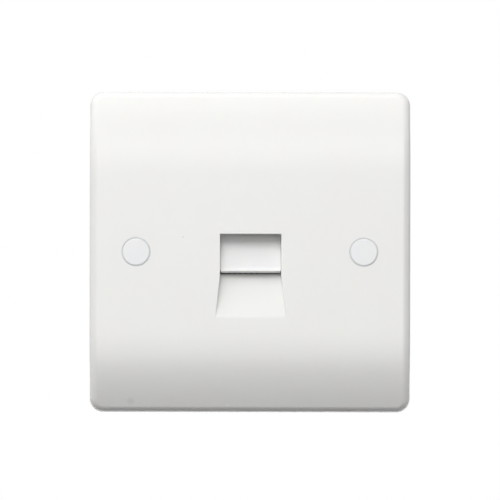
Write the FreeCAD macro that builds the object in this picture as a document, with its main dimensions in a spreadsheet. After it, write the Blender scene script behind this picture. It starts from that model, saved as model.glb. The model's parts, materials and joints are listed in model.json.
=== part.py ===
import FreeCAD, Part
import math
import os

import Sketcher

# A flush telephone wall socket, in millimetres. A square moulded plate, curved towards its top
# and bottom edges, has a plug opening with a hinged shutter and a finger ramp below it. Behind it
# sit the jack, its six hairpin contacts and the terminal board.
# The frame: +X to the right, +Z up, -Y out of the wall towards the user. The wall plane is Y = 0,
# and the origin is on it, midway between the two fixing screws.

SIZES = {
    # front plate
    "plate_width": 86,
    "plate_height": 86,
    "plate_depth": 10,
    "flat_height": 42,
    "bend_radius": 52,
    "side_draft": 0.55,
    "corner_radius": 3.6,
    "face_edge_radius": 2.2,
    "rim_wall": 2.6,
    "face_wall": 3,
    "hollow_corner_radius": 1.6,
    "web_thickness": 1.6,
    "web_height": 4,
    # plug opening and finger ramp
    "aperture_width": 16.5,
    "aperture_top": 4.8,
    "sill_drop": 6.1,
    "sill_depth": 3.9,
    "ramp_foot_drop": 16.8,
    "ramp_foot_width": 18.8,
    "ramp_wall": 2.3,
    "ramp_side_wall": 2,
    "aperture_edge_radius": 0.25,
    "ramp_foot_radius": 5,
    # fixings behind the round caps
    "fixing_spacing": 60.3,
    "fixing_hole_diameter": 3.8,
    "fixing_pillar_wall": 1.8,
    "fixing_seat": 4,
    "cap_hole_diameter": 7.8,
    "cap_clearance": 0.12,
    "cap_proud": 0.1,
    "cap_face": 1.3,
    "cap_depth": 3,
    "cap_skirt_wall": 0.8,
    "cap_edge_radius": 0.35,
    "cap_slot_width": 1.6,
    "fixing_screw_diameter": 3.5,
    "fixing_screw_length": 25,
    "fixing_neck_diameter": 3.1,
    "fixing_head_diameter": 6.6,
    "fixing_head_height": 2.2,
    "fixing_slot_width": 1,
    "fixing_slot_depth": 1.1,
    # jack housing
    "jack_length": 18,
    "jack_wall": 1.6,
    "jack_back_wall": 2,
    "jack_ceiling": 8.9,
    "roof_start": 4,
    "roof_end": 15.6,
    "nose_ceiling": 0.9,
    "roof_flat": 2.2,
    "floor_gap": 0.1,
    "front_step_gap": 0.3,
    "surround_wall": 1.4,
    "surround_height": 3,
    "surround_gap": 0.15,
    "latch_window_start": 6.5,
    "latch_window_length": 3.8,
    "latch_window_height": 3.2,
    "latch_window_level": 3.2,
    # contact carrier
    "carrier_height": 3.4,
    "carrier_gap": 0.06,
    "rail_depth": 0.8,
    "rail_height": 1.2,
    "comb_slot_width": 0.8,
    "comb_slot_depth": 1.6,
    "comb_web": 0.8,
    "comb_nose": 1.35,
    "comb_slot_end": 2.4,
    # contacts
    "contact_count": 6,
    "contact_pitch": 1.5,
    "contact_offset": 1.9,
    "contact_diameter": 0.5,
    "contact_bend_radius": 1.4,
    "contact_groove_gap": 0.15,
    "contact_rise": 10,
    "contact_arm": 9.5,
    "contact_tail": 1.2,
    # shutter, its pin and its spring
    "hinge_level": 7.2,
    "hinge_setback": 5.8,
    "shutter_lean": 15.5,
    "shutter_length": 12.4,
    "shutter_thickness": 1,
    "shutter_side_gap": 0.26,
    "shutter_shift": 0.1,
    "lip_radius": 0.62,
    "knuckle_radius": 1.4,
    "knuckle_length": 4.4,
    "spring_notch": 1.9,
    "pin_diameter": 1.2,
    "pin_running_gap": 0.05,
    "pin_seat_gap": 0.01,
    "spring_wire": 0.35,
    "spring_radius": 0.85,
    "spring_pitch": 0.45,
    "spring_turns": 3,
    "spring_shutter_leg": 4.5,
    "spring_roof_leg": 2.9,
    "spring_roof_angle": 15,
    # circuit board and its pillars
    "board_width": 40,
    "board_height": 33,
    "board_thickness": 1.6,
    "board_corner_radius": 1,
    "board_pillar_x": 16,
    "board_pillar_z": 12.5,
    "board_pillar_diameter": 6.5,
    "board_hole_diameter": 3.2,
    "peg_diameter": 2.9,
    "peg_height": 1,
    "contact_hole_gap": 0.2,
    "board_screw_diameter": 2.4,
    "board_screw_length": 9.5,
    "board_head_diameter": 5.6,
    "board_head_height": 2,
    "pilot_gap": 0.05,
    "pilot_depth": 9,
    "cross_width": 0.9,
    "cross_span": 3,
    "cross_depth": 1.1,
    # terminal blocks and their blades
    "terminal_count": 3,
    "terminal_pitch": 5,
    "block_x": 12.6,
    "block_width": 8.4,
    "block_end_wall": 3.8,
    "block_height": 9,
    "block_base": 1,
    "block_edge_radius": 0.4,
    "wire_slot_width": 1.3,
    "wire_slot_depth": 5.6,
    "blade_thickness": 0.6,
    "blade_width": 3.8,
    "blade_height": 6.6,
    "blade_gap": 0.1,
    "blade_slot": 0.36,
    "blade_slot_depth": 4.2,
    "blade_mouth": 1.8,
    "blade_mouth_depth": 1,
    "blade_tail_width": 0.8,
    "blade_tail_reach": 1,
    "tail_hole_diameter": 1.2,
}

doc = FreeCAD.newDocument("telephone_socket")
dim = doc.addObject("Spreadsheet::Sheet", "dim")
for line, (name, size) in enumerate(SIZES.items(), 1):
    dim.set(f"A{line}", name)
    dim.set(f"B{line}", str(size))
    dim.setAlias(f"B{line}", name)
doc.recompute()

# Places that several pieces share, as expressions on the sheet. Y values grow into the wall.
FACE = "(-dim.plate_depth)"
FACE_BACK = f"({FACE} + dim.face_wall)"
SILL_FRONT = f"({FACE} + dim.sill_depth)"
SILL_BACK = f"({SILL_FRONT} + dim.ramp_wall)"
JACK_FRONT = FACE_BACK
JACK_BACK = f"({JACK_FRONT} + dim.jack_length)"
BOARD_BACK = f"({JACK_BACK} + dim.board_thickness)"
SEAT = "(-dim.fixing_seat)"
JACK_FLOOR = "(-dim.sill_drop - dim.floor_gap)"
CARRIER_BOTTOM = f"({JACK_FLOOR} - dim.carrier_height)"
JACK_HALF = "(dim.aperture_width / 2 + dim.jack_wall)"
JACK_TOP = "(dim.jack_ceiling + dim.jack_wall)"
HINGE_Y = f"({FACE} + dim.hinge_setback)"
WEB_TOP = f"({JACK_FLOOR} - dim.comb_slot_depth)"
WEB_BOTTOM = f"({WEB_TOP} - dim.comb_web)"
CONTACT_LEG_Z = f"({WEB_BOTTOM} - dim.contact_groove_gap - dim.contact_diameter / 2)"
CONTACT_BEND_Z = f"({CONTACT_LEG_Z} + dim.contact_bend_radius)"
CARRIER_FRONT = f"({SILL_BACK} + dim.front_step_gap)"
CONTACT_BEND_Y = f"({CARRIER_FRONT} + dim.contact_diameter / 2 + dim.contact_bend_radius)"
SHUTTER_WIDTH = "(dim.aperture_width - 2 * dim.shutter_side_gap)"
FIXING_X = "dim.fixing_spacing / 2"
PILOT_DIAMETER = "(dim.board_screw_diameter + 2 * dim.pilot_gap)"
SMALL = 1e-4
OVERSHOOT = 1


def value(expression):
    """The present value of an expression on the sheet."""
    return float(dim.evalExpression(expression))


def new_body(name):
    body = doc.addObject("PartDesign::Body", name)
    body.Label = name
    return body


def origin_feature(body, role):
    return next(item for item in body.Origin.OriginFeatures if item.Role == role)


def new_sketch(body, name, plane, offset="0"):
    """A sketch on one of the body's own planes, moved by offset along that plane's normal.
    XZ_Plane: sketch (x, y) is (X, Z), normal -Y. YZ_Plane: (Y, Z), normal +X."""
    sketch = body.newObject("Sketcher::SketchObject", f"{body.Name}_{name}")
    sketch.AttachmentSupport = [(origin_feature(body, plane), "")]
    sketch.MapMode = "FlatFace"
    sketch.setExpression("AttachmentOffset.Base.z", offset)
    return sketch


def tie(sketch, kind, *where, expression):
    """A dimension of the sketch that follows an expression on the sheet."""
    number = sketch.addConstraint(Sketcher.Constraint(kind, *where, value(expression)))
    sketch.setExpression(f"Constraints[{number}]", expression)


def tie_point(sketch, item, end, point):
    tie(sketch, "DistanceX", -1, 1, item, end, expression=point[0])
    tie(sketch, "DistanceY", -1, 1, item, end, expression=point[1])


def arc_between(start, finish, radius, turn):
    """The arc under half a circle from start to finish; turn is 1 anticlockwise, -1 clockwise."""
    middle = (start + finish) / 2
    chord = finish - start
    rise = math.sqrt(max(radius**2 - (chord.Length / 2) ** 2, 0))
    side = FreeCAD.Vector(-chord.y, chord.x, 0).normalize()
    centre = middle + side * rise * turn
    first, last = (start, finish) if turn > 0 else (finish, start)
    angles = [math.atan2(p.y - centre.y, p.x - centre.x) for p in (first, last)]
    circle = Part.Circle(centre, FreeCAD.Vector(0, 0, 1), radius)
    return Part.ArcOfCircle(circle, angles[0], angles[1])


def outline(body, name, plane, steps, offset="0", closed=True):
    """A chain of straight lines and arcs. Each step is (x, y), or (x, y, radius, turn) where an
    arc leads to that point."""
    sketch = new_sketch(body, name, plane, offset)
    points = [FreeCAD.Vector(value(step[0]), value(step[1]), 0) for step in steps]
    ends = []
    order = list(range(1, len(steps))) + ([0] if closed else [])
    for target in order:
        start, finish = points[target - 1], points[target]
        if len(steps[target]) == 2:
            item = sketch.addGeometry(Part.LineSegment(start, finish), False)
            ends.append((item, 1, 2))
        else:
            radius, turn = steps[target][2:]
            item = sketch.addGeometry(arc_between(start, finish, value(radius), turn), False)
            tie(sketch, "Radius", item, expression=radius)
            ends.append((item, 1, 2) if turn > 0 else (item, 2, 1))
    for (item, _, last), (following, first, _) in zip(ends, ends[1:]):
        sketch.addConstraint(Sketcher.Constraint("Coincident", item, last, following, first))
    if closed:
        (opening, opening_end, _), (closing, _, closing_end) = ends[0], ends[-1]
        sketch.addConstraint(
            Sketcher.Constraint("Coincident", closing, closing_end, opening, opening_end)
        )
    for (item, first, _), step in zip(ends, steps):
        tie_point(sketch, item, first, step)
    if not closed:
        tie_point(sketch, ends[-1][0], ends[-1][2], steps[-1])
    return sketch


def circles(body, name, plane, centres, diameter, offset="0"):
    sketch = new_sketch(body, name, plane, offset)
    for centre in centres:
        place = FreeCAD.Vector(value(centre[0]), value(centre[1]), 0)
        circle = Part.Circle(place, FreeCAD.Vector(0, 0, 1), value(diameter) / 2)
        item = sketch.addGeometry(circle, False)
        tie_point(sketch, item, 3, centre)
        tie(sketch, "Diameter", item, expression=diameter)
    return sketch


def box_steps(left, right, bottom, top):
    return [(left, bottom), (right, bottom), (right, top), (left, top)]


def polygons(body, name, plane, shapes, offset="0"):
    """Several separate closed shapes with straight sides, each a list of points, in one sketch."""
    sketch = new_sketch(body, name, plane, offset)
    for steps in shapes:
        points = [FreeCAD.Vector(value(x), value(y), 0) for x, y in steps]
        pairs = zip(points, points[1:] + points[:1])
        items = [sketch.addGeometry(Part.LineSegment(*pair), False) for pair in pairs]
        for item, following, step in zip(items, items[1:] + items[:1], steps):
            sketch.addConstraint(Sketcher.Constraint("Coincident", item, 2, following, 1))
            tie_point(sketch, item, 1, step)
    return sketch


def boxes(body, name, plane, rectangles, offset="0"):
    """Several separate rectangles, each (left, right, bottom, top), in one sketch."""
    return polygons(body, name, plane, [box_steps(*sides) for sides in rectangles], offset)


def checked(feature, grows):
    """Recompute, and make sure that the feature changed the solid the way it should."""
    doc.recompute()
    before = feature.BaseFeature.Shape.Volume if feature.BaseFeature else 0
    change = feature.Shape.Volume - before
    if (change if grows else -change) <= SMALL:
        raise RuntimeError(f"{feature.Name} changes the volume by {change}")
    return feature


def extrude(body, kind, sketch, length, midplane, flip):
    feature = body.newObject(f"PartDesign::{kind}", f"{sketch.Name}_{kind.lower()}")
    feature.Profile = sketch
    feature.setExpression("Length", length)
    feature.Midplane = midplane
    feature.Reversed = flip
    return checked(feature, kind == "Pad")


def pad(body, sketch, length, midplane=False, flip=False):
    """Material along the sketch's normal, the other way where flip is set."""
    return extrude(body, "Pad", sketch, length, midplane, flip)


def pocket(body, sketch, length, midplane=False, flip=False):
    """A cut against the sketch's normal, the other way where flip is set."""
    return extrude(body, "Pocket", sketch, length, midplane, flip)


def round_edges(body, name, radius, wanted):
    """A fillet on the edges of the body's tip that the wanted test picks."""
    base = body.Tip
    edges = [f"Edge{i}" for i, edge in enumerate(base.Shape.Edges, 1) if wanted(edge)]
    fillet = body.newObject("PartDesign::Fillet", f"{body.Name}_{name}")
    fillet.Base = (base, edges)
    fillet.setExpression("Radius", radius)
    doc.recompute()
    return fillet


def middle_of(edge):
    return edge.valueAt((edge.FirstParameter + edge.LastParameter) / 2)


def runs_along(edge, axis):
    """Whether the edge is straight and parallel to the axis."""
    if edge.Curve.TypeId != "Part::GeomLine":
        return False
    return abs(edge.tangentAt(edge.FirstParameter).dot(axis)) > 1 - SMALL


def row(body, feature, axis, pitch, count):
    """Copies of one feature in a row along an axis of the body's origin."""
    pattern = body.newObject("PartDesign::LinearPattern", f"{feature.Name}_row")
    pattern.Originals = [feature]
    pattern.Direction = (origin_feature(body, axis), [""])
    pattern.setExpression("Length", f"{pitch} * ({count} - 1)")
    pattern.setExpression("Occurrences", count)
    body.Tip = pattern
    doc.recompute()
    return pattern


def turned(body, name, steps):
    """A solid of revolution about the body's own Y axis; steps are (y, radius) points."""
    sketch = outline(body, name, "YZ_Plane", steps)
    feature = body.newObject("PartDesign::Revolution", f"{sketch.Name}_turn")
    feature.Profile = sketch
    feature.ReferenceAxis = (sketch, ["H_Axis"])
    feature.Angle = 360
    return checked(feature, True)


def place(body, x="0", y="0", z="0"):
    for axis, expression in zip("xyz", (x, y, z)):
        body.setExpression(f".Placement.Base.{axis}", expression)
    doc.recompute()


X_AXIS = FreeCAD.Vector(1, 0, 0)
Y_AXIS = FreeCAD.Vector(0, 1, 0)


def curved_section(wall, half_height, back):
    """The plate's section seen along X, its front set back by wall from the outer face: flat in
    the middle, then an arc to the top and one to the bottom."""
    radius = f"(dim.bend_radius - {wall})"
    centre_y = f"({FACE} + dim.bend_radius)"
    reach = f"({half_height} - dim.flat_height / 2)"
    edge_y = f"({centre_y} - sqrt(pow({radius}; 2) - pow({reach}; 2)))"
    front = f"({FACE} + {wall})"
    return [
        (back, f"(-{half_height})"),
        (back, half_height),
        (edge_y, half_height),
        (front, "dim.flat_height / 2", radius, 1),
        (front, "-dim.flat_height / 2"),
        (edge_y, f"(-{half_height})", radius, 1),
    ]


def front_plate():
    """One urea moulding: curved face, rim, pillars, webs, the opening and its ramp."""
    body = new_body("front_plate")
    half_width = value("dim.plate_width / 2")
    half_height = value("dim.plate_height / 2")
    flat_half = value("dim.flat_height / 2")
    section = curved_section("0", "(dim.plate_height / 2)", "0")
    pad(body, outline(body, "section", "YZ_Plane", section), "dim.plate_width", midplane=True)

    # draft on the four sides, which are widest at the wall
    for name, plane, half, along in (
        ("side_draft", "XY_Plane", "(dim.plate_width / 2)", "dim.plate_height"),
        ("end_draft", "YZ_Plane", "(dim.plate_height / 2)", "dim.plate_width"),
    ):
        wedges = []
        for sign in ("-", ""):
            drawn_in = f"{sign}({half} - dim.side_draft)"
            outside = f"{sign}({half} + {OVERSHOOT})"
            before = f"({FACE} - {OVERSHOOT})"
            wedge = [
                (f"{sign}{half}", "0"),
                (drawn_in, FACE),
                (drawn_in, before),
                (outside, before),
                (outside, "0"),
            ]
            wedges.append(wedge if plane == "XY_Plane" else [(y, z) for z, y in wedge])
        sketch = polygons(body, name, plane, wedges)
        pocket(body, sketch, f"{along} + 2 * {OVERSHOOT}", midplane=True)

    def corner(edge):
        spot = middle_of(edge)
        inset = value("dim.side_draft") + SMALL
        return abs(spot.x) > half_width - inset and abs(spot.z) > half_height - inset

    round_edges(body, "corners", "dim.corner_radius", corner)

    def face_rim(edge):
        spot = middle_of(edge)
        bend_line = abs(spot.x) < SMALL and abs(abs(spot.z) - flat_half) < SMALL
        return edge.BoundBox.YMax < value(FACE) / 2 and not bend_line

    round_edges(body, "face_rim", "dim.face_edge_radius", face_rim)

    hollow_half = "(dim.plate_height / 2 - dim.rim_wall)"
    hollow = curved_section("dim.face_wall", hollow_half, str(OVERSHOOT))
    hollow_width = "dim.plate_width - 2 * dim.rim_wall"
    pocket(body, outline(body, "hollow", "YZ_Plane", hollow), hollow_width, midplane=True)
    inner_x = half_width - value("dim.rim_wall")
    inner_z = half_height - value("dim.rim_wall")

    def hollow_corner(edge):
        spot = middle_of(edge)
        inner = abs(abs(spot.x) - inner_x) < SMALL and abs(abs(spot.z) - inner_z) < SMALL
        return inner and runs_along(edge, Y_AXIS)

    round_edges(body, "hollow_corners", "dim.hollow_corner_radius", hollow_corner)

    # pillars that rise from within the face, the wall box's two and the board's four
    root = f"({FACE} + dim.face_wall / 2)"
    fixings = [(f"-{FIXING_X}", "0"), (FIXING_X, "0")]
    pillar = "(dim.cap_hole_diameter + 2 * dim.fixing_pillar_wall)"
    pad(body, circles(body, "fixing_pillars", "XZ_Plane", fixings, pillar), f"-{root}")
    pillar_x = "dim.board_pillar_x"
    pillar_z = "dim.board_pillar_z"
    screwed = [(f"-{pillar_x}", pillar_z), (pillar_x, f"-{pillar_z}")]
    pegged = [(pillar_x, pillar_z), (f"-{pillar_x}", f"-{pillar_z}")]
    board_pillars = circles(
        body,
        "board_pillars",
        "XZ_Plane",
        screwed + pegged,
        "dim.board_pillar_diameter",
        f"-{JACK_BACK}",
    )
    pad(body, board_pillars, f"{JACK_BACK} - {root}")
    peg_end = f"({BOARD_BACK} + dim.peg_height)"
    pegs = circles(body, "pegs", "XZ_Plane", pegged, "dim.peg_diameter", f"-{peg_end}")
    pad(body, pegs, f"{peg_end} - {JACK_BACK} + {OVERSHOOT}")

    # webs from the rim through each fixing pillar to the wall round the jack
    half_web = "dim.web_thickness / 2"
    web_outer = "(dim.plate_width / 2 - dim.rim_wall / 2)"
    web_inner = f"({JACK_HALF} + dim.surround_gap + dim.surround_wall / 2)"
    web_end = f"({FACE_BACK} + dim.web_height)"
    webs = boxes(
        body,
        "webs",
        "XZ_Plane",
        [
            (f"-{web_outer}", f"-{web_inner}", f"-{half_web}", half_web),
            (web_inner, web_outer, f"-{half_web}", half_web),
        ],
        f"-{web_end}",
    )
    pad(body, webs, f"{web_end} - {root}")

    # low wall that locates the jack at its top and sides
    gap = "dim.surround_gap"
    inside = f"({JACK_HALF} + {gap})"
    outside = f"({inside} + dim.surround_wall)"
    inside_top = f"({JACK_TOP} + {gap})"
    outside_top = f"({inside_top} + dim.surround_wall)"
    foot = "(-dim.sill_drop)"
    surround_end = f"({FACE_BACK} + dim.surround_height)"
    surround = outline(
        body,
        "surround",
        "XZ_Plane",
        [
            (f"-{outside}", foot),
            (f"-{inside}", foot),
            (f"-{inside}", inside_top),
            (inside, inside_top),
            (inside, foot),
            (outside, foot),
            (outside, outside_top),
            (f"-{outside}", outside_top),
        ],
        f"-{surround_end}",
    )
    pad(body, surround, f"{surround_end} - {root}")

    # the back of the ramp, which stands into the hollow as far as the sill
    ramp_back = outline(
        body,
        "ramp_back",
        "YZ_Plane",
        [
            (f"({FACE} + dim.ramp_wall)", foot),
            (f"({FACE} + dim.ramp_wall)", "-dim.ramp_foot_drop"),
            (SILL_BACK, foot),
        ],
    )
    pad(body, ramp_back, "dim.ramp_foot_width + 2 * dim.ramp_side_wall", midplane=True)

    # cap wells, fixing holes and pilot holes
    before_face = f"dim.plate_depth + {OVERSHOOT}"
    wells = circles(body, "cap_wells", "XZ_Plane", fixings, "dim.cap_hole_diameter", before_face)
    pocket(body, wells, f"dim.plate_depth - dim.fixing_seat + {OVERSHOOT}")
    holes = circles(body, "fixing_holes", "XZ_Plane", fixings, "dim.fixing_hole_diameter", f"-{OVERSHOOT}")
    pocket(body, holes, f"dim.fixing_seat + 2 * {OVERSHOOT}", flip=True)
    pilots = circles(body, "pilots", "XZ_Plane", screwed, PILOT_DIAMETER, f"-{JACK_BACK} - {OVERSHOOT}")
    pocket(body, pilots, f"dim.pilot_depth + {OVERSHOOT}", flip=True)

    # the opening, then the recess below it, which widens downwards and is floored by the ramp
    half_aperture = "dim.aperture_width / 2"
    through = f"{SILL_BACK} - {FACE} + 2 * {OVERSHOOT}"
    rectangle = (f"-{half_aperture}", half_aperture, foot, "dim.aperture_top")
    pocket(body, boxes(body, "aperture", "XZ_Plane", [rectangle], before_face), through)

    def opening_edge(edge):
        spot = middle_of(edge)
        within_width = abs(spot.x) < value(half_aperture) + SMALL
        within_height = value(foot) + SMALL < spot.z < value("dim.aperture_top") + SMALL
        return within_width and within_height and abs(spot.y - value(FACE)) < SMALL

    round_edges(body, "opening_edges", "dim.aperture_edge_radius", opening_edge)
    tilt = "atan(dim.sill_depth / (dim.ramp_foot_drop - dim.sill_drop))"
    easing = f"(dim.ramp_foot_radius * tan({tilt} / 2))"
    ramp_end = f"(-dim.ramp_foot_drop - {easing})"
    half_foot = "dim.ramp_foot_width / 2"
    recess = outline(
        body,
        "recess",
        "XZ_Plane",
        [
            (f"-{half_foot}", ramp_end),
            (half_foot, ramp_end),
            (half_aperture, foot),
            (f"-{half_aperture}", foot),
        ],
        before_face,
    )
    pocket(body, recess, through)
    ramp = outline(
        body,
        "ramp",
        "YZ_Plane",
        [
            (SILL_FRONT, foot),
            (SILL_BACK, foot),
            (f"({FACE} + dim.ramp_wall)", "-dim.ramp_foot_drop"),
            (f"({FACE} + dim.ramp_wall)", f"{ramp_end} - {OVERSHOOT}"),
            (FACE, f"{ramp_end} - {OVERSHOOT}"),
            (FACE, ramp_end),
            (
                f"({FACE} + {easing} * sin({tilt}))",
                f"({easing} * cos({tilt}) - dim.ramp_foot_drop)",
                "dim.ramp_foot_radius",
                -1,
            ),
        ],
    )
    pad(body, ramp, "dim.ramp_foot_width + 2 * dim.ramp_side_wall", midplane=True)
    return body


def screw_cap(name, x):
    """A disc with a rounded edge, on a skirt split in four that grips the well."""
    body = new_body(name)
    radius = "(dim.cap_hole_diameter / 2 - dim.cap_clearance)"
    inner = f"({radius} - dim.cap_skirt_wall)"
    turned(
        body,
        "section",
        [
            ("0", "0"),
            ("dim.cap_face", "0"),
            ("dim.cap_face", inner),
            ("dim.cap_depth", inner),
            ("dim.cap_depth", radius),
            ("dim.cap_edge_radius", radius),
            ("0", f"({radius} - dim.cap_edge_radius)", "dim.cap_edge_radius", 1),
        ],
    )
    half = "dim.cap_slot_width / 2"
    reach = "dim.cap_hole_diameter"
    for slot, (wide, tall) in (("slot_across", (reach, half)), ("slot_down", (half, reach))):
        sketch = boxes(
            body, slot, "XZ_Plane", [(f"-{wide}", wide, f"-{tall}", tall)], f"-dim.cap_depth - {OVERSHOOT}"
        )
        pocket(body, sketch, f"dim.cap_depth - dim.cap_face + {OVERSHOOT}", flip=True)
    place(body, x, f"{FACE} - dim.cap_proud")
    return body


def fixing_screw(name, x):
    """A slotted pan-head machine screw: its neck fills the plate's seat, and past the wall plane
    its shank is plain, at the thread's outer diameter."""
    body = new_body(name)
    head = "dim.fixing_head_height"
    round_over = f"({head} / 2)"
    head_radius = "(dim.fixing_head_diameter / 2)"
    neck = "(dim.fixing_neck_diameter / 2)"
    shank = "(dim.fixing_screw_diameter / 2)"
    point = "(dim.fixing_screw_diameter / 6)"
    turned(
        body,
        "section",
        [
            (f"-{head}", "0"),
            ("dim.fixing_screw_length", "0"),
            ("dim.fixing_screw_length", f"({shank} - {point})"),
            (f"(dim.fixing_screw_length - {point})", shank),
            ("dim.fixing_seat", shank),
            ("dim.fixing_seat", neck),
            ("0", neck),
            ("0", head_radius),
            (f"({round_over} - {head})", head_radius),
            (f"-{head}", f"({head_radius} - {round_over})", round_over, 1),
        ],
    )
    half = "dim.fixing_slot_width / 2"
    reach = "dim.fixing_head_diameter"
    rectangle = (f"-{reach}", reach, f"-{half}", half)
    slot = boxes(body, "slot", "XZ_Plane", [rectangle], f"{head} + {OVERSHOOT}")
    pocket(body, slot, f"dim.fixing_slot_depth + {OVERSHOOT}")
    place(body, x, SEAT)
    return body


def roof_y(level, shift="0"):
    """Where the jack's sloping roof stands at a level, moved back by shift."""
    run = "(dim.roof_end - dim.roof_start)"
    drop = "(dim.jack_ceiling - dim.nose_ceiling)"
    return f"({JACK_FRONT} + dim.roof_start + (dim.jack_ceiling - {level}) * {run} / {drop} + {shift})"


def jack_housing():
    """The moulded shell that takes the plug: open in front and below, with a roof that slopes down
    behind the shutter and stops it."""
    body = new_body("jack_housing")
    run = "(dim.roof_end - dim.roof_start)"
    drop = "(dim.jack_ceiling - dim.nose_ceiling)"
    thicker = f"(dim.jack_wall * sqrt(pow({run}; 2) + pow({drop}; 2)) / {drop})"
    step_z = "(-dim.sill_drop + dim.floor_gap)"
    outer = outline(
        body,
        "outer",
        "YZ_Plane",
        [
            (JACK_FRONT, step_z),
            (CARRIER_FRONT, step_z),
            (CARRIER_FRONT, CARRIER_BOTTOM),
            (JACK_BACK, CARRIER_BOTTOM),
            (JACK_BACK, "dim.roof_flat"),
            (roof_y("dim.roof_flat", thicker), "dim.roof_flat"),
            (roof_y(JACK_TOP, thicker), JACK_TOP),
            (JACK_FRONT, JACK_TOP),
        ],
    )
    pad(body, outer, f"2 * {JACK_HALF}", midplane=True)

    def roof_edge(edge):
        spot = middle_of(edge)
        return runs_along(edge, X_AXIS) and spot.z > value("dim.roof_flat") - SMALL

    round_edges(body, "roof_edges", "dim.jack_wall / 2", roof_edge)

    nose_back = f"({JACK_BACK} - dim.jack_back_wall)"
    below = f"({CARRIER_BOTTOM} - {OVERSHOOT})"
    floor = f"({JACK_FLOOR} + dim.carrier_gap)"
    cavity = outline(
        body,
        "cavity",
        "YZ_Plane",
        [
            (f"({JACK_FRONT} - {OVERSHOOT})", below),
            (f"({JACK_BACK} + {OVERSHOOT})", below),
            (f"({JACK_BACK} + {OVERSHOOT})", floor),
            (nose_back, floor),
            (nose_back, "dim.nose_ceiling"),
            (roof_y("dim.nose_ceiling"), "dim.nose_ceiling"),
            (roof_y("dim.jack_ceiling"), "dim.jack_ceiling"),
            (f"({JACK_FRONT} - {OVERSHOOT})", "dim.jack_ceiling"),
        ],
    )
    pocket(body, cavity, "dim.aperture_width", midplane=True)

    # grooves that the carrier's rails slide in
    rail_z = f"({CARRIER_BOTTOM} + dim.carrier_height / 2)"
    groove_half = "(dim.rail_height / 2 + dim.carrier_gap)"
    groove = "(dim.aperture_width / 2 + dim.rail_depth + dim.carrier_gap)"
    grooves = boxes(
        body,
        "grooves",
        "XZ_Plane",
        [(f"-{groove}", groove, f"{rail_z} - {groove_half}", f"{rail_z} + {groove_half}")],
        f"-{JACK_BACK} - {OVERSHOOT}",
    )
    pocket(body, grooves, f"{JACK_BACK} - {CARRIER_FRONT} + 2 * {OVERSHOOT}", flip=True)

    # hinge pin seats, and the window that the plug's latch snaps into
    pin_hole = "dim.pin_diameter + 2 * dim.pin_seat_gap"
    seats = circles(body, "pin_seats", "YZ_Plane", [(HINGE_Y, "dim.hinge_level")], pin_hole)
    pocket(body, seats, f"2 * {JACK_HALF} + {OVERSHOOT}", midplane=True)
    window_start = f"({JACK_FRONT} + dim.latch_window_start)"
    window = boxes(
        body,
        "latch_window",
        "YZ_Plane",
        [
            (
                window_start,
                f"{window_start} + dim.latch_window_length",
                "-dim.latch_window_level - dim.latch_window_height / 2",
                "-dim.latch_window_level + dim.latch_window_height / 2",
            )
        ],
        f"{JACK_HALF} + {OVERSHOOT}",
    )
    pocket(body, window, f"dim.jack_wall + 2 * {OVERSHOOT}")
    return body


def contact_carrier():
    """The comb under the plug: slots above and below a web, joined round its nose, one per contact."""
    body = new_body("contact_carrier")
    half = "(dim.aperture_width / 2 - dim.carrier_gap)"
    rail = f"({half} + dim.rail_depth)"
    rail_z = f"({CARRIER_BOTTOM} + dim.carrier_height / 2)"
    rail_top = f"({rail_z} + dim.rail_height / 2)"
    rail_bottom = f"({rail_z} - dim.rail_height / 2)"
    section = outline(
        body,
        "section",
        "XZ_Plane",
        [
            (f"-{half}", CARRIER_BOTTOM),
            (half, CARRIER_BOTTOM),
            (half, rail_bottom),
            (rail, rail_bottom),
            (rail, rail_top),
            (half, rail_top),
            (half, JACK_FLOOR),
            (f"-{half}", JACK_FLOOR),
            (f"-{half}", rail_top),
            (f"-{rail}", rail_top),
            (f"-{rail}", rail_bottom),
            (f"-{half}", rail_bottom),
        ],
        f"-{JACK_BACK}",
    )
    pad(body, section, f"{JACK_BACK} - {CARRIER_FRONT}")
    ahead = f"({CARRIER_FRONT} - {OVERSHOOT})"
    behind = f"({JACK_BACK} + {OVERSHOOT})"
    slot_end = f"({JACK_BACK} - dim.comb_slot_end)"
    nose = f"({CARRIER_FRONT} + dim.comb_nose)"
    above = f"({JACK_FLOOR} + {OVERSHOOT})"
    below = f"({CARRIER_BOTTOM} - {OVERSHOOT})"
    channel = outline(
        body,
        "channel",
        "YZ_Plane",
        [
            (ahead, above),
            (ahead, below),
            (behind, below),
            (behind, WEB_BOTTOM),
            (nose, WEB_BOTTOM),
            (nose, WEB_TOP),
            (slot_end, WEB_TOP),
            (slot_end, above),
        ],
        contact_x("0"),
    )
    first = pocket(body, channel, "dim.comb_slot_width", midplane=True)
    row(body, first, "X_Axis", "dim.contact_pitch", "dim.contact_count")
    return body


def contact_x(number):
    """The place of contact 0, 1, 2 ... from the left."""
    return f"(({number} - (dim.contact_count - 1) / 2) * dim.contact_pitch - dim.contact_offset)"


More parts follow.
